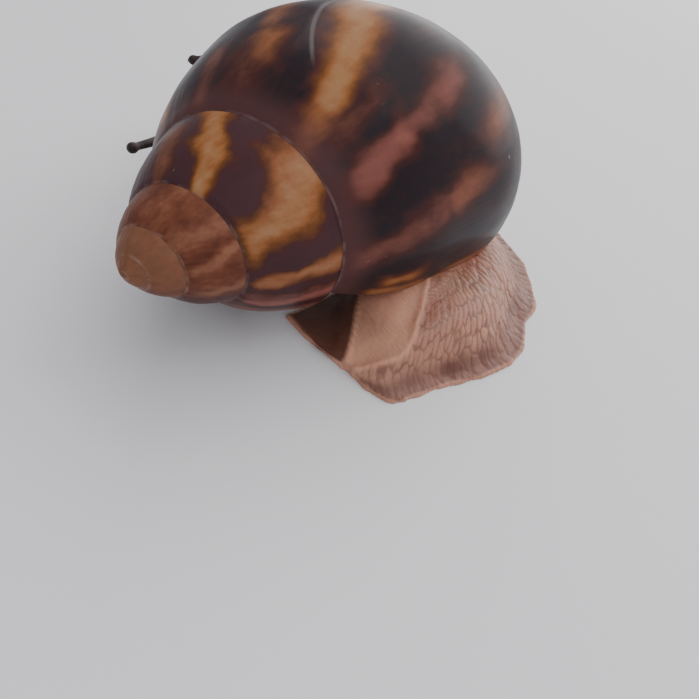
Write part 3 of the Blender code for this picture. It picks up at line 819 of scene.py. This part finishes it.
def relax(points, faces, weight, times):
    """Moves each point toward the middle of its neighbours, as far as its weight says."""
    following = np.roll(faces, -1, axis=1).ravel()
    here = np.concatenate([faces.ravel(), following])
    there = np.concatenate([following, faces.ravel()])
    count = np.bincount(here, minlength=len(points))
    share = 0.5 * np.broadcast_to(weight, len(points)) / count
    for _ in range(times):
        pull = np.stack([np.bincount(here, points[there, k], len(points)) for k in range(3)], axis=1)
        points = points + share[:, None] * (pull - count[:, None] * points)
    return points


def soft_joins(points):
    """1 where the neck, the head and the tentacles' roots run into one another."""
    weight = fade(-34.0, -28.0, points[:, 0])
    weight = weight * ease(1.5, 4.0, points[:, 2]) * (0.25 + 0.75 * ease(-55.0, -52.5, points[:, 0]))
    for axis in TENTACLES:
        near, at = distance_to_path(points, axis)
        weight = weight * (1 - fade(1.9, 2.6, near) * ease(0.06, 0.16, at))
    return weight


def outward_normals(points, faces):
    """Unit normals at the points of a mesh of quads."""
    corners = points[faces]
    flat = np.cross(corners[:, 2] - corners[:, 0], corners[:, 3] - corners[:, 1])
    at = faces.ravel()
    whole = [np.bincount(at, np.repeat(flat[:, k], 4), len(points)) for k in range(3)]
    return unit(np.stack(whole, axis=1))


# ---- where each point of the skin lies ----


def nearest_on(points, path):
    """Distance to the nearest point of a path, and which of its points that is."""
    nearest = np.full(len(points), 1e9)
    at = np.zeros(len(points), int)
    for k, spot in enumerate(path):
        distance = np.linalg.norm(points - spot, axis=1)
        at = np.where(distance < nearest, k, at)
        nearest = np.minimum(nearest, distance)
    return nearest, at


def along_foot(points):
    """Length along the foot, signed distance to its right, and share of the way to the margin."""
    shares = np.linspace(0, 1, FOOT_SAMPLES)
    path = smooth_path(FOOT_PATH, shares)
    ahead = unit(np.gradient(path, axis=0))
    across = np.stack([ahead[:, 1], -ahead[:, 0]], axis=1)
    length = np.concatenate([[0], np.cumsum(np.linalg.norm(np.diff(path, axis=0), axis=1))])
    right = smooth_path(RIGHT_REACH, shares) + margin_lobes(shares)
    left = smooth_path(LEFT_REACH, shares)
    at = nearest_on(points[:, :2], path)[1]
    offset = points[:, :2] - path[at]
    side = (offset * across[at]).sum(1)
    reach = np.where(side > 0, right[at], left[at])
    return length[at] + (offset * ahead[at]).sum(1), side, np.abs(side) / reach, shares[at]


def distance_to_path(points, knots):
    """Distance to a smooth path, and the share of the way along it."""
    nearest, at = nearest_on(points, smooth_path(knots, np.linspace(0, 1, PATH_SAMPLES)))
    return nearest, at / (PATH_SAMPLES - 1)


def on_collar(points):
    """1 on the mantle collar's own surface, falling to 0 off it, and the distance in from the wall."""
    made, faces = [], []
    add_rings(made, faces, mantle_rings())
    tree = BVHTree.FromPolygons([tuple(p) for p in made], faces)
    apex, axis, lip, growth = shell_frame()
    offset = points - apex
    ahead = offset @ growth
    close = (np.abs(ahead) < 22) & (offset @ lip > 0) & (ahead < 1.5) & (points[:, 2] > 3)
    wall = whorl_outline(WHORLS)
    gap, inwards = np.full(len(points), 9.0), np.full(len(points), 9.0)
    for k in np.flatnonzero(close):
        gap[k] = tree.find_nearest(Vector(points[k]))[3]
        drop = offset[k] @ axis
        off = np.linalg.norm(offset[k] - drop * axis)
        inwards[k] = np.linalg.norm(wall - (off, drop), axis=1).min()
    return fade(0.45, 1.0, gap), inwards


# ---- relief and tones of the skin ----


def beside_keel(points):
    """Signed distance in plan to the right of the tail's pale keel."""
    path = smooth_path(KEEL_PATH, np.linspace(0, 1, KEEL_SAMPLES))
    ahead = unit(np.gradient(path, axis=0))
    distance, at = nearest_on(points[:, :2], path)
    offset = points[:, :2] - path[at]
    side = offset[:, 1] * ahead[at, 0] - offset[:, 0] * ahead[at, 1]
    return np.where(side > 0, distance, -distance)


def on_stalks(points):
    """1 on the tentacles, from a little way above their roots."""
    stalk = np.zeros(len(points))
    for axis in TENTACLES:
        near, at = distance_to_path(points, axis)
        away = at * np.linalg.norm(np.diff(axis, axis=0), axis=1).sum()
        stalk = np.maximum(stalk, fade(1.6, 3.2, near) * ease(1.2, 4.2, away))
    return stalk


def tubercles(points, length, fall, drift, shift):
    """Cells of the foot's tubercles, of its fine wrinkles and of the neck's pebbled skin."""
    wobble = 0.16 * soft_noise(points * 0.8, 33, 2)
    # rows slant most beside the keel, and a count of cells along them lets their width change
    slanting = length - 10 * np.exp(-(fall + 9) / 8)
    reached = np.linspace(-40, 130, 700)
    widths = CELL_WIDTH + CELL_GAIN * hill(reached, CELL_WIDEST, CELL_SPREAD)
    count = np.interp(slanting, reached, np.cumsum((reached[1] - reached[0]) / widths))
    down = 6 * np.log(np.maximum(25 + fall, 1))  # cells grow longer down the side
    coarse = cells(in_plane(count + 0.4 * drift + wobble, down + 0.5 * shift - wobble), 41, flat=True)
    close = in_plane(length / FINE_CELL[0] + 0.3 * drift, fall / FINE_CELL[1] + 0.3 * shift)
    pebbled = cells(points / PEBBLE + 0.2 * drift[:, None], 47)
    return coarse, cells(close, 43, flat=True), pebbled


def skin_relief(points, normals, depth):
    """Outward relief in millimetres and the named tones at each point of the skin."""
    length, side, outward, share = along_foot(points)
    z = points[:, 2]
    drift = soft_noise(points * 0.16, 31, 2)
    shift = soft_noise(points * 0.16 * 1.4, 37, 2)
    fall = np.abs(side) - 0.9 * z

    to_head, _ = distance_to_path(points, HEAD_AXIS[1:])
    head = fade(8.0, 12.0, to_head) * ease(0.72, 0.82, share)
    neck = ease(0.62, 0.74, share)
    stalk = on_stalks(points)
    mantle, inwards = on_collar(points)
    bare = (1 - stalk) * (1 - mantle)

    # the tail: keel, pleats to its left, crest and a left flank darkened with painted shade, and its end
    keel = beside_keel(points)
    on_keel = hill(keel, 0, 0.55) * (share < 0.36)
    pleats = ease(0.3, -1.2, keel) * fade(0.30, 0.38, share)
    beyond = np.where(side < 0, outward - smooth_path(LEFT_SHOULDER, share), -1.0)
    on_crest = hill(beyond, 0.01, 0.035) * fade(0.25, 0.35, share)
    # painted shade: the tail's left flank under the shell is given a dark colour as if in the shell's shadow
    flank_painted_shade = ease(0.02, 0.08, beyond) * fade(0.35, 0.5, share)
    from_end = length + TAIL_BOW * ease(0.05, 0.45, -side / LEFT_REACH[0])
    # the margin's pale fringe: partly the foot's own paler edge, partly painted highlight where the margin
    # catches the light
    margin = np.maximum(ease(0.95, 0.985, outward), fade(0.3, 0.9, from_end)) * fade(0.7, 1.3, z)

    coarse, fine, pebbled = tubercles(points, length, fall, drift, shift)
    rug = np.where(neck > 0.5, pebbled, np.where(pleats > 0.5, fine, coarse))
    amount = TUBERCLE * (1 - 0.75 * pleats) * (1 - 0.3 * head) * (1 - 0.6 * ease(0.93, 1.0, outward))
    amount = amount * (0.45 + 0.55 * ease(2.0, 10.0, np.abs(keel) + 20 * neck))
    relief = depth * amount * (ease(0.02, 0.36, rug) - 0.6) * bare
    relief += depth * FINE_WRINKLE * (ease(0.02, 0.3, fine) - 0.6) * bare * (1 - neck) * (1 - pleats)
    groove = fade(0.02, 0.27, rug) * (1 - 0.75 * pleats) * (1 - stalk) * (1.0 + 0.5 * shift)

    # ridges and grooves of the margin, keel, crest, neck and head, then soft swellings
    fringe = 0.5 + 0.5 * np.cos(2 * math.pi * (length + 1.3 * drift) / 1.3)
    relief -= MARGIN_GROOVE * hill(z, 1.5, 0.3) * ease(0.8, 0.9, outward)
    relief -= FRINGE_GROOVE * fringe**3 * fade(1.1, 1.5, z) * ease(0.85, 0.92, outward)
    relief += KEEL_RIDGE * on_keel
    relief += on_crest * (CREST_RIDGE + CREST_BEADS * np.cos(2 * math.pi * (length + 0.3 * drift) / 0.9))
    for centre in (-1.9, 1.9):
        relief += NECK_RIDGE * hill(side, centre, 0.55) * neck * (z > 9) * (1 - head)
    relief -= HEAD_GROOVE * hill(side, 0, 0.35) * ease(0.6, 0.9, head) * (z > 8)
    relief += SKIN_SWELL * soft_noise(points * 0.33, 53, 2) * (1 - stalk) * (1 - 0.7 * head)
    facing = ease(0.6, 0.9, normals @ shell_frame()[3])
    collar = COLLAR_SWELL * soft_noise(points * 0.6, 59, 2) + COLLAR_ROLL * hill(inwards, 2.8, 1.4)
    relief += mantle * facing * collar

    low = fade(2.2, 5.5, z) * ease(0.5, 0.78, outward) * ease(0.1, 0.9, z) * fade(0.6, 0.75, share)
    blush = sum(
        strength * hill(length, place, BLUSH_LENGTH) * hill(outward, reach, BLUSH_WIDTH)
        for place, reach, strength in BLUSHES
    )
    values = {
        "along": length,
        "fall": fall,
        "groove": np.clip(groove, 0, 1) * (1 - 0.75 * mantle),
        "tone": np.maximum.reduce([0.45 * neck * ease(3, 9, z), 0.72 * head, stalk]),
        "rim": np.clip(low * (0.8 + 0.5 * soft_noise(points * 0.14, 61, 3)), 0, 1),
        "blush": np.clip(low * blush * (0.85 + 0.6 * soft_noise(points * 0.5, 67, 2)), 0, 1),
        # painted light: flesh left of the keel made paler, as if lit from the right
        "lit": hill(keel, -3.0, 2.4) * fade(0.12, 0.2, share),
        # painted highlight: the keel's crest is coloured paler, as if catching the light; its ridge is
        # modelled as relief
        "keel": np.clip(on_keel, 0, 1),
        "pleats": pleats * (1 - mantle) * (1 - flank_painted_shade),
        "mantle": mantle,
        "collar_rim": hill(inwards, 2.4, 2.0),
        "edge": margin,
        # painted shade of the tail's left flank, kept off the pale margin
        "flank": flank_painted_shade * (1 - margin),
        "stalk": stalk,
    }
    return relief, values


def flatten_sole(mesh):
    """Cuts the skin at the floor and closes it with a flat sole."""
    bm = bmesh.new()
    bm.from_mesh(mesh)
    whole = [*bm.verts, *bm.edges, *bm.faces]
    plane = {"plane_co": (0, 0, 0), "plane_no": (0, 0, 1)}
    bmesh.ops.bisect_plane(bm, geom=whole, dist=1e-7, clear_inner=True, **plane)
    rim = [edge for edge in bm.edges if edge.is_boundary]
    filled = bmesh.ops.holes_fill(bm, edges=rim, sides=0)["faces"]
    for face in filled:
        face.smooth = False
        face.material_index = 1
    bmesh.ops.triangulate(bm, faces=filled)
    bm.to_mesh(mesh)
    bm.free()


# ---- materials ----


class Nodes:
    """Builds a node material step by step: most methods add a node and return its output."""

    def __init__(self, name):
        self.material = bpy.data.materials.new(name)
        self.material.use_nodes = True
        self.tree = self.material.node_tree
        self.shader = self.tree.nodes["Principled BSDF"]

    def add(self, kind, inputs, **settings):
        made = self.tree.nodes.new(kind)
        for key, value in settings.items():
            setattr(made, key, value)
        for key, value in inputs.items():
            self.put(made.inputs[key], value)
        return made

    def put(self, socket, value):
        if isinstance(value, bpy.types.NodeSocket):
            self.tree.links.new(value, socket)
        elif isinstance(value, tuple) and len(value) == 3 and socket.type == "RGBA":
            socket.default_value = (*value, 1.0)
        else:
            socket.default_value = value

    def attribute(self, name):
        return self.add("ShaderNodeAttribute", {}, attribute_name=name).outputs["Fac"]

    def place(self):
        return self.add("ShaderNodeTexCoord", {}).outputs["Object"]

    def vector(self, x, y, z=0.0):
        return self.add("ShaderNodeCombineXYZ", {"X": x, "Y": y, "Z": z}).outputs["Vector"]

    def stretched(self, x, y, x_scale, y_scale, z=0.0):
        return self.vector(self.times(x, x_scale), self.times(y, y_scale), z)

    def maths(self, operation, a, b=0.0, c=0.0, clamp=False):
        made = self.add("ShaderNodeMath", {0: a, 1: b, 2: c}, operation=operation, use_clamp=clamp)
        return made.outputs[0]

    def times(self, a, b):
        return self.maths("MULTIPLY", a, b)

    def line(self, value, slope, start):
        """start plus slope times the value."""
        return self.maths("MULTIPLY_ADD", value, slope, start)

    def step(self, value, low, high, to_low=0.0, to_high=1.0):
        settings = {"From Min": low, "From Max": high, "To Min": to_low, "To Max": to_high}
        made = self.add("ShaderNodeMapRange", {"Value": value, **settings}, interpolation_type="SMOOTHSTEP")
        return made.outputs["Result"]

    def noise(self, vector, scale, detail=2.0, roughness=0.5):
        inputs = {"Vector": vector, "Scale": scale, "Detail": detail, "Roughness": roughness}
        return self.add("ShaderNodeTexNoise", inputs).outputs["Fac"]

    def patches(self, vector, scale, detail, low, high, to_low=0.0, to_high=1.0):
        return self.step(self.noise(vector, scale, detail), low, high, to_low, to_high)

    def edges(self, vector, scale):
        inputs = {"Vector": vector, "Scale": scale}
        return self.add("ShaderNodeTexVoronoi", inputs, feature="DISTANCE_TO_EDGE").outputs["Distance"]

    def grains(self, vector, scale, width=0.3):
        return self.step(self.edges(vector, scale), 0.0, width)

    def mix(self, share, a, b):
        return self.add("ShaderNodeMix", {0: share, 6: a, 7: b}, data_type="RGBA").outputs[2]

    def shades(self, share, base, low, high):
        """From one shade of a colour to another."""
        return self.mix(share, colour(base, low), colour(base, high))

    def ramp(self, value, stops):
        made = self.add("ShaderNodeValToRGB", {"Fac": value})
        elements = made.color_ramp.elements
        elements[0].position, elements[0].color = stops[0][0], (*stops[0][1], 1)
        elements[1].position, elements[1].color = stops[-1][0], (*stops[-1][1], 1)
        for position, tint in stops[1:-1]:
            elements.new(position).color = (*tint, 1)
        return made.outputs["Color"]

    def bump(self, height, distance, strength=1.0, normal=None):
        inputs = {"Height": height, "Distance": distance, "Strength": strength}
        if normal is not None:
            inputs["Normal"] = normal
        return self.add("ShaderNodeBump", inputs).outputs["Normal"]

    def finish(self, inputs):
        """Sets the shader's own inputs and returns the material."""
        for key, value in inputs.items():
            self.put(self.shader.inputs[key], value)
        return self.material


def colour(value, factor=1.0):
    """A property's colour as a tuple, lighter or darker by a factor."""
    return tuple(channel * factor for channel in value[:3])


def young_shell(n, turn, down, flame, streaks):
    """The plain brown of the whorls grown first, with faint bands."""
    bands = n.noise(n.stretched(turn, down, 17.0, 1.4, 3.0), 1.0, 3.0)
    light = n.maths("ADD", n.times(bands, 0.85), n.times(flame, 0.5))
    return n.ramp(n.maths("ADD", light, n.line(streaks, 0.4, -0.2)), YOUNG_STOPS)


def shell_material(looks):
    n = Nodes("polished_flamed_shell")
    turn, down, inside = n.attribute("turn"), n.attribute("down"), n.attribute("inside")
    flame, warmth = n.attribute("flame_light"), n.attribute("flame_warmth")
    streaks = n.noise(n.stretched(turn, down, 70.0, 5.0), 1.0, 4.0, 0.6)
    cloud = n.noise(n.stretched(turn, down, 16.0, 5.0, 7.0), 1.0, 3.0)
    ragged = n.line(streaks, 0.5, -0.25)
    ragged = n.line(cloud, 0.36, n.maths("ADD", ragged, -0.18))
    light = n.maths("ADD", flame, ragged, clamp=True)
    rusty = (
        (0.0, colour(looks.dark)),
        (0.28, colour(looks.rust, 0.28)),
        (0.6, colour(looks.rust, 0.8)),
        (1.0, colour(looks.rust, 1.35)),
    )
    warm = (
        (0.0, colour(looks.dark)),
        (0.25, colour(looks.rust, 0.35)),
        (0.5, colour(looks.amber, 0.42)),
        (0.72, colour(looks.amber, 0.85)),
        (1.0, colour(looks.cream)),
    )
    body = n.mix(warmth, n.ramp(light, rusty), n.ramp(light, warm))
    plum = n.times(n.step(turn, 3.55, 3.3), n.step(light, 0.35, 0.1))
    body = n.mix(plum, body, n.mix(0.75, body, SPIRE_PLUM))
    high = n.times(n.step(down, 0.28, 0.02), n.step(turn, 3.3, 3.6))
    body = n.mix(n.times(high, 0.62), body, SUTURE_PLUM)
    body = n.mix(n.step(turn, 2.50, 2.36), body, young_shell(n, turn, down, flame, streaks))
    body = n.mix(n.times(n.step(turn, 1.55, 1.3), 0.5), body, FIRST_WHORLS)

    seam = n.step(n.attribute("from_suture"), 0.0006, 0.00025)
    seam = n.times(n.times(seam, n.patches(n.place(), 500.0, 2.0, 0.3, 0.65)), 0.42)
    body = n.mix(seam, body, n.mix(n.step(turn, 2.6, 2.4), SEAM_BODY, SEAM_SPIRE))
    rest = n.step(n.maths("ABSOLUTE", n.attribute("from_rest")), 0.0036, 0.0008)
    rest = n.times(rest, n.step(down, 0.46, 0.62))
    body = n.mix(n.times(rest, n.step(down, 1.35, 1.1, 0.0, 0.4)), body, REST_SCAR)
    # small pale specks: partly worn spots, partly painted sheen
    worn_and_sheen_specks = n.patches(n.place(), 620.0, 2.0, 0.70, 0.78)
    worn_and_sheen_specks = n.times(worn_and_sheen_specks, n.patches(n.place(), 160.0, 2.0, 0.5, 0.66))
    body = n.mix(n.times(worn_and_sheen_specks, 0.3), body, WORN_AND_SHEEN_SPECKS)
    inner = n.shades(n.noise(n.place(), 120.0), looks.lining, 1.0, 0.72)

    growth = n.noise(n.stretched(turn, down, 190.0, 2.0), 1.0, 3.0)
    relief = n.bump(growth, 0.00016, 0.25)
    worn = n.patches(n.place(), 90.0, 3.0, 0.35, 0.7, 0.30, 0.42)
    return n.finish({
        "Base Color": n.mix(n.step(inside, 0.1, 0.9), body, inner),
        "Roughness": n.line(inside, -0.1, worn),
        "Normal": n.bump(n.edges(n.place(), 1700.0), 0.00015, 0.08, relief),
        "Coat Weight": looks.gloss,
        "Specular IOR Level": 0.045,
        "Coat Roughness": 0.12,
    })


def skin_material(looks):
    n = Nodes("moist_rugose_skin")
    where = n.place()
    pleats, stalk, flank = n.attribute("pleats"), n.attribute("stalk"), n.attribute("flank")

    blotch = n.noise(where, 130.0, 4.0, 0.6)
    fold = n.times(n.attribute("groove"), n.patches(where, 220.0, 2.0, 0.25, 0.7, 0.5, 0.95))
    flesh = n.shades(n.step(blotch, 0.35, 0.68), looks.flesh, 0.84, 1.1)
    layers = (  # how much of each tint lies over the last
        (n.times(n.patches(where, 60.0, 3.0, 0.5, 0.7), 0.5), colour(looks.rosy)),
        (n.times(n.attribute("rim"), 0.85), colour(looks.rosy, 0.38)),
        (n.times(n.attribute("blush"), 0.92), BLUSH),
        (fold, colour(looks.groove)),
        # painted light: the pleated flap left of the keel is coloured a little lighter, as if lit from the
        # right
        (n.times(pleats, n.step(blotch, 0.3, 0.65, 0.1, 0.7)), colour(looks.flesh, 1.16)),
        # painted light: flesh left of the keel made paler, as if lit from the right
        (n.times(n.attribute("lit"), 0.85), colour(looks.flesh, 1.5)),
        # painted highlight: the keel's crest is coloured paler, as if catching the light
        (n.times(n.attribute("keel"), 0.8), colour(looks.flesh, 1.5)),
        # painted shade: dark red-brown laid on the tail's left flank where the shell's shadow falls
        (n.times(flank, n.step(blotch, 0.3, 0.7, 0.97, 0.85)), colour(looks.flank)),
        # pale fringe of the margin: partly its own paler edge, partly painted highlight
        (n.times(n.attribute("edge"), 0.6), colour(looks.flesh, 1.35)),
    )
    for share, tint in layers:
        flesh = n.mix(share, flesh, tint)
    brown = n.shades(n.patches(where, 500.0, 3.0, 0.35, 0.65), looks.dark, 1.0, 2.4)
    brown = n.mix(n.times(stalk, 0.6), brown, colour(looks.dark, 0.6))
    skin = n.mix(n.step(n.attribute("tone"), 0.0, 1.0), flesh, brown)
    collar = n.mix(n.patches(where, 420.0, 4.0, 0.38, 0.62), COLLAR_PALE, COLLAR_DARK)
    collar = n.mix(n.attribute("collar_rim"), collar, COLLAR_RIM)

    stripes = n.stretched(n.attribute("along"), n.attribute("fall"), 1.7, 0.3)
    relief = n.bump(n.grains(stripes, 1.0, 0.25), 0.00012, n.times(pleats, 0.6))
    relief = n.bump(n.grains(where, 2600.0), 0.00005, 0.6, relief)
    duller = n.maths("MAXIMUM", stalk, flank)
    wet = n.patches(where, 260.0, 3.0, 0.35, 0.7, 0.38, 0.56)
    return n.finish({
        "Base Color": n.mix(n.attribute("mantle"), skin, collar),
        "Normal": n.bump(n.grains(where, 1500.0), 0.00007, n.times(stalk, 0.6), relief),
        "Roughness": n.line(duller, 0.14, wet),
        "Subsurface Weight": looks.softness,
        "Subsurface Radius": (1.0, 0.42, 0.28),
        "Subsurface Scale": 0.0011,
        "Specular IOR Level": 0.25,
        "Coat Weight": n.line(duller, -0.9 * looks.wetness, looks.wetness),
        "Coat Roughness": 0.28,
    })


def sole_material(looks):
    n = Nodes("smooth_pale_sole")
    return n.finish({
        "Base Color": n.shades(n.noise(n.place(), 90.0, 4.0), looks.flesh, 0.85, 1.15),
        "Roughness": 0.4,
        "Subsurface Weight": looks.softness,
        "Subsurface Scale": 0.001,
        "Normal": n.bump(n.noise(n.place(), 700.0, 3.0), 0.0001, 0.3),
    })


def eye_material(looks):
    n = Nodes("dark_glossy_eye")
    return n.finish({
        "Base Color": n.shades(n.noise(n.place(), 900.0), looks.iris, 1.0, 1.8),
        "Roughness": 0.15,
        "Specular IOR Level": 0.35,
        "Coat Weight": 0.3,
        "Coat Roughness": 0.03,
    })


def floor_material(looks):
    n = Nodes("pale_matt_floor")
    return n.finish({
        "Base Color": n.shades(n.noise(n.place(), 14.0, 3.0), looks.floor, 0.97, 1.0),
        "Roughness": 0.6,
    })


# ---- what a user may change ----


def colour_property(name, description, default):
    return bpy.props.FloatVectorProperty(
        name=name, description=description, default=default, subtype="COLOR", size=3, min=0.0, max=1.0
    )


def number_property(name, description, default, low=0.0, high=1.0, **kind):
    return bpy.props.FloatProperty(
        name=name, description=description, default=default, min=low, max=high, **kind
    )


class ShellLooks(bpy.types.PropertyGroup):
    """Colours and gloss of the shell."""

    dark: colour_property("Dark ground", "Near-black brown between the flames", (0.021, 0.014, 0.017))
    rust: colour_property("Rust", "Red-brown flames and flame edges", (0.19, 0.063, 0.054))
    amber: colour_property("Amber", "Bright middles of the flames", (0.31, 0.112, 0.036))
    cream: colour_property("Cream", "Lightest flames, on the older whorls", (0.345, 0.185, 0.088))
    lining: colour_property("Lining", "Lip, inner wall and columella", (0.46, 0.35, 0.31))
    gloss: number_property("Gloss", "Strength of the shell's clear outer layer", 0.06)


class SkinLooks(bpy.types.PropertyGroup):
    """Colours, relief and wetness of the skin."""

    flesh: colour_property("Flesh", "Pale pinkish brown of the foot", (0.42, 0.205, 0.135))
    rosy: colour_property("Rosy", "Redder flesh toward the margin", (0.36, 0.135, 0.10))
    groove: colour_property("Grooves", "Skin between the tubercles", (0.175, 0.065, 0.045))
    # painted shade: the dark red-brown that stands for the shell's shadow on the tail's left flank
    flank: colour_property("Shaded flank", "Red-brown left side of the tail", (0.085, 0.026, 0.015))
    dark: colour_property("Dark skin", "Head and tentacles", (0.032, 0.018, 0.017))
    relief: number_property("Relief", "Depth of the tubercles and folds, 1 as in life", 1.0, high=1.5)
    cell: number_property(
        "Mesh cell", "Size of the cells the skin is meshed in", 0.00028, 0.0002, 0.001, unit="LENGTH"
    )
    softness: number_property("Softness", "How much light passes into the flesh", 0.35)
    wetness: number_property("Wetness", "Strength of the film of moisture", 0.14)


class EyeLooks(bpy.types.PropertyGroup):
    """Size and colour of the eyes."""

    radius: number_property("Radius", "Radius of each eye", 0.0005, 0.0003, 0.0006, unit="LENGTH")
    iris: colour_property("Iris", "Colour of the eye", (0.012, 0.009, 0.009))


class StageLooks(bpy.types.PropertyGroup):
    """Floor and light."""

    floor: colour_property("Floor", "Colour of the plain floor", (0.72, 0.715, 0.73))
    key: number_property("Key light", "Power of the window-like light", 21.0, high=100.0, unit="POWER")
    fill: number_property("Fill light", "Power of the light by the viewer", 1.2, high=100.0, unit="POWER")
    ambient: number_property("Ambient", "Brightness of the room", 0.68, high=5.0)


# ---- operators ----


class SNAIL_OT_shell(bpy.types.Operator):
    """Builds the spiral shell with its flames"""

    bl_idname = "snail.shell"
    bl_label = "Shell"

    def execute(self, context):
        points, faces, values = drop_loose(*shell_mesh())
        values["from_suture"] = values["from_suture"] * MM
        shell = make_object("spiral_shell", points, faces, values)
        shell.data.materials.append(shell_material(context.scene.snail_shell))
        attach(shell, "root")
        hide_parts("shell")
        return {"FINISHED"}


class SNAIL_OT_skin(bpy.types.Operator):
    """Builds the body as one skin: foot, neck, head, tentacles and mantle collar"""

    bl_idname = "snail.skin"
    bl_label = "Skin"

    def execute(self, context):
        looks = context.scene.snail_skin
        points, faces, _ = drop_loose(*shell_mesh())
        tree = BVHTree.FromPolygons([tuple(p) for p in points], faces)
        points, faces = one_skin(tree, looks.cell / MM)
        normals = outward_normals(points, faces)
        relief, values = skin_relief(points, normals, looks.relief)
        steady = ease(0.0, 0.5, points[:, 2])
        points = points + normals * relief[:, None] * np.stack([np.ones_like(steady)] * 2 + [steady], axis=1)
        skin = make_object("body_skin", points, faces.tolist(), values)
        flatten_sole(skin.data)
        skin.data.materials.append(skin_material(looks))
        skin.data.materials.append(sole_material(looks))
        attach(skin, "root")
        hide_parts(*FLESH_NODES)
        return {"FINISHED"}


class SNAIL_OT_eyes(bpy.types.Operator):
    """Sets an eye in the top of each upper tentacle"""

    bl_idname = "snail.eyes"
    bl_label = "Eyes"

    def execute(self, context):
        looks = context.scene.snail_eyes
        material = eye_material(looks)
        for name in ("eye_left", "eye_right"):
            low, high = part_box(name)
            mesh = bpy.data.meshes.new(name + "_ball")
            bm = bmesh.new()
            bmesh.ops.create_icosphere(bm, subdivisions=4, radius=looks.radius)
            bmesh.ops.translate(bm, verts=bm.verts, vec=(Vector(low) + Vector(high)) / 2)
            bm.to_mesh(mesh)
            bm.free()
            mesh.shade_smooth()
            mesh.materials.append(material)
            ball = link(name + "_ball", mesh)
            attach(ball, "root")
            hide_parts(name)
        return {"FINISHED"}


class SNAIL_OT_stage(bpy.types.Operator):
    """Sets the floor, the lights and the camera"""

    bl_idname = "snail.stage"
    bl_label = "Stage"

    def execute(self, context):
        looks = context.scene.snail_stage
        scene = context.scene
        mesh = bpy.data.meshes.new("floor")
        corners = ((-1, -1), (1, -1), (1, 1), (-1, 1))
        mesh.from_pydata([(FLOOR_REACH * x, FLOOR_REACH * y, 0) for x, y in corners], [], [(0, 1, 2, 3)])
        mesh.materials.append(floor_material(looks))
        floor = link("floor", mesh)

        world = bpy.data.worlds.new("room")
        world.use_nodes = True
        background = world.node_tree.nodes["Background"]
        background.inputs["Color"].default_value = ROOM_TINT
        background.inputs["Strength"].default_value = looks.ambient
        scene.world = world

        for (name, place, size, tint), power in zip(LAMPS, (looks.key, looks.fill)):
            light = bpy.data.lights.new(name, "AREA")
            light.energy = power
            light.size = size
            light.color = tint
            lamp = link(name, light)
            lamp.location = place
            lamp.rotation_euler = (-Vector(place)).to_track_quat("-Z", "Y").to_euler()

        camera = bpy.data.cameras.new("view")
        camera.lens = CAMERA_LENS
        camera.sensor_width = 36.0
        camera.clip_start = 0.001
        eye = link("view", camera)
        right, up = Vector(CAMERA_RIGHT), Vector(CAMERA_UP)
        turn = Matrix((right, up, right.cross(up))).transposed()
        place = Vector((-CENTRE[0], -CENTRE[1], CAMERA_HEIGHT)) * MM
        eye.matrix_world = Matrix.Translation(place) @ turn.to_4x4()
        scene.camera = eye
        return {"FINISHED"}


class SNAIL_PT_panel(bpy.types.Panel):
    """Lists the builders of the snail and their settings"""

    bl_idname = "SNAIL_PT_panel"
    bl_label = "Giant African land snail"
    bl_space_type = "VIEW_3D"
    bl_region_type = "UI"
    bl_category = "Snail"

    def draw(self, context):
        layout = self.layout
        for operator, group, looks in BUILDERS:
            box = layout.box()
            box.operator(operator.bl_idname)
            for key in looks.__annotations__:
                box.prop(getattr(context.scene, group), key)


BUILDERS = (
    (SNAIL_OT_shell, "snail_shell", ShellLooks),
    (SNAIL_OT_skin, "snail_skin", SkinLooks),
    (SNAIL_OT_eyes, "snail_eyes", EyeLooks),
    (SNAIL_OT_stage, "snail_stage", StageLooks),
)


def register():
    for operator, group, looks in BUILDERS:
        bpy.utils.register_class(looks)
        bpy.utils.register_class(operator)
        setattr(bpy.types.Scene, group, bpy.props.PointerProperty(type=looks))
    bpy.utils.register_class(SNAIL_PT_panel)


def unregister():
    bpy.utils.unregister_class(SNAIL_PT_panel)
    for operator, group, looks in reversed(BUILDERS):
        delattr(bpy.types.Scene, group)
        bpy.utils.unregister_class(operator)
        bpy.utils.unregister_class(looks)


def main():
    register()
    bpy.ops.snail.shell()
    bpy.ops.snail.skin()
    bpy.ops.snail.eyes()
    bpy.ops.snail.stage()


if __name__ == "__main__":
    main()
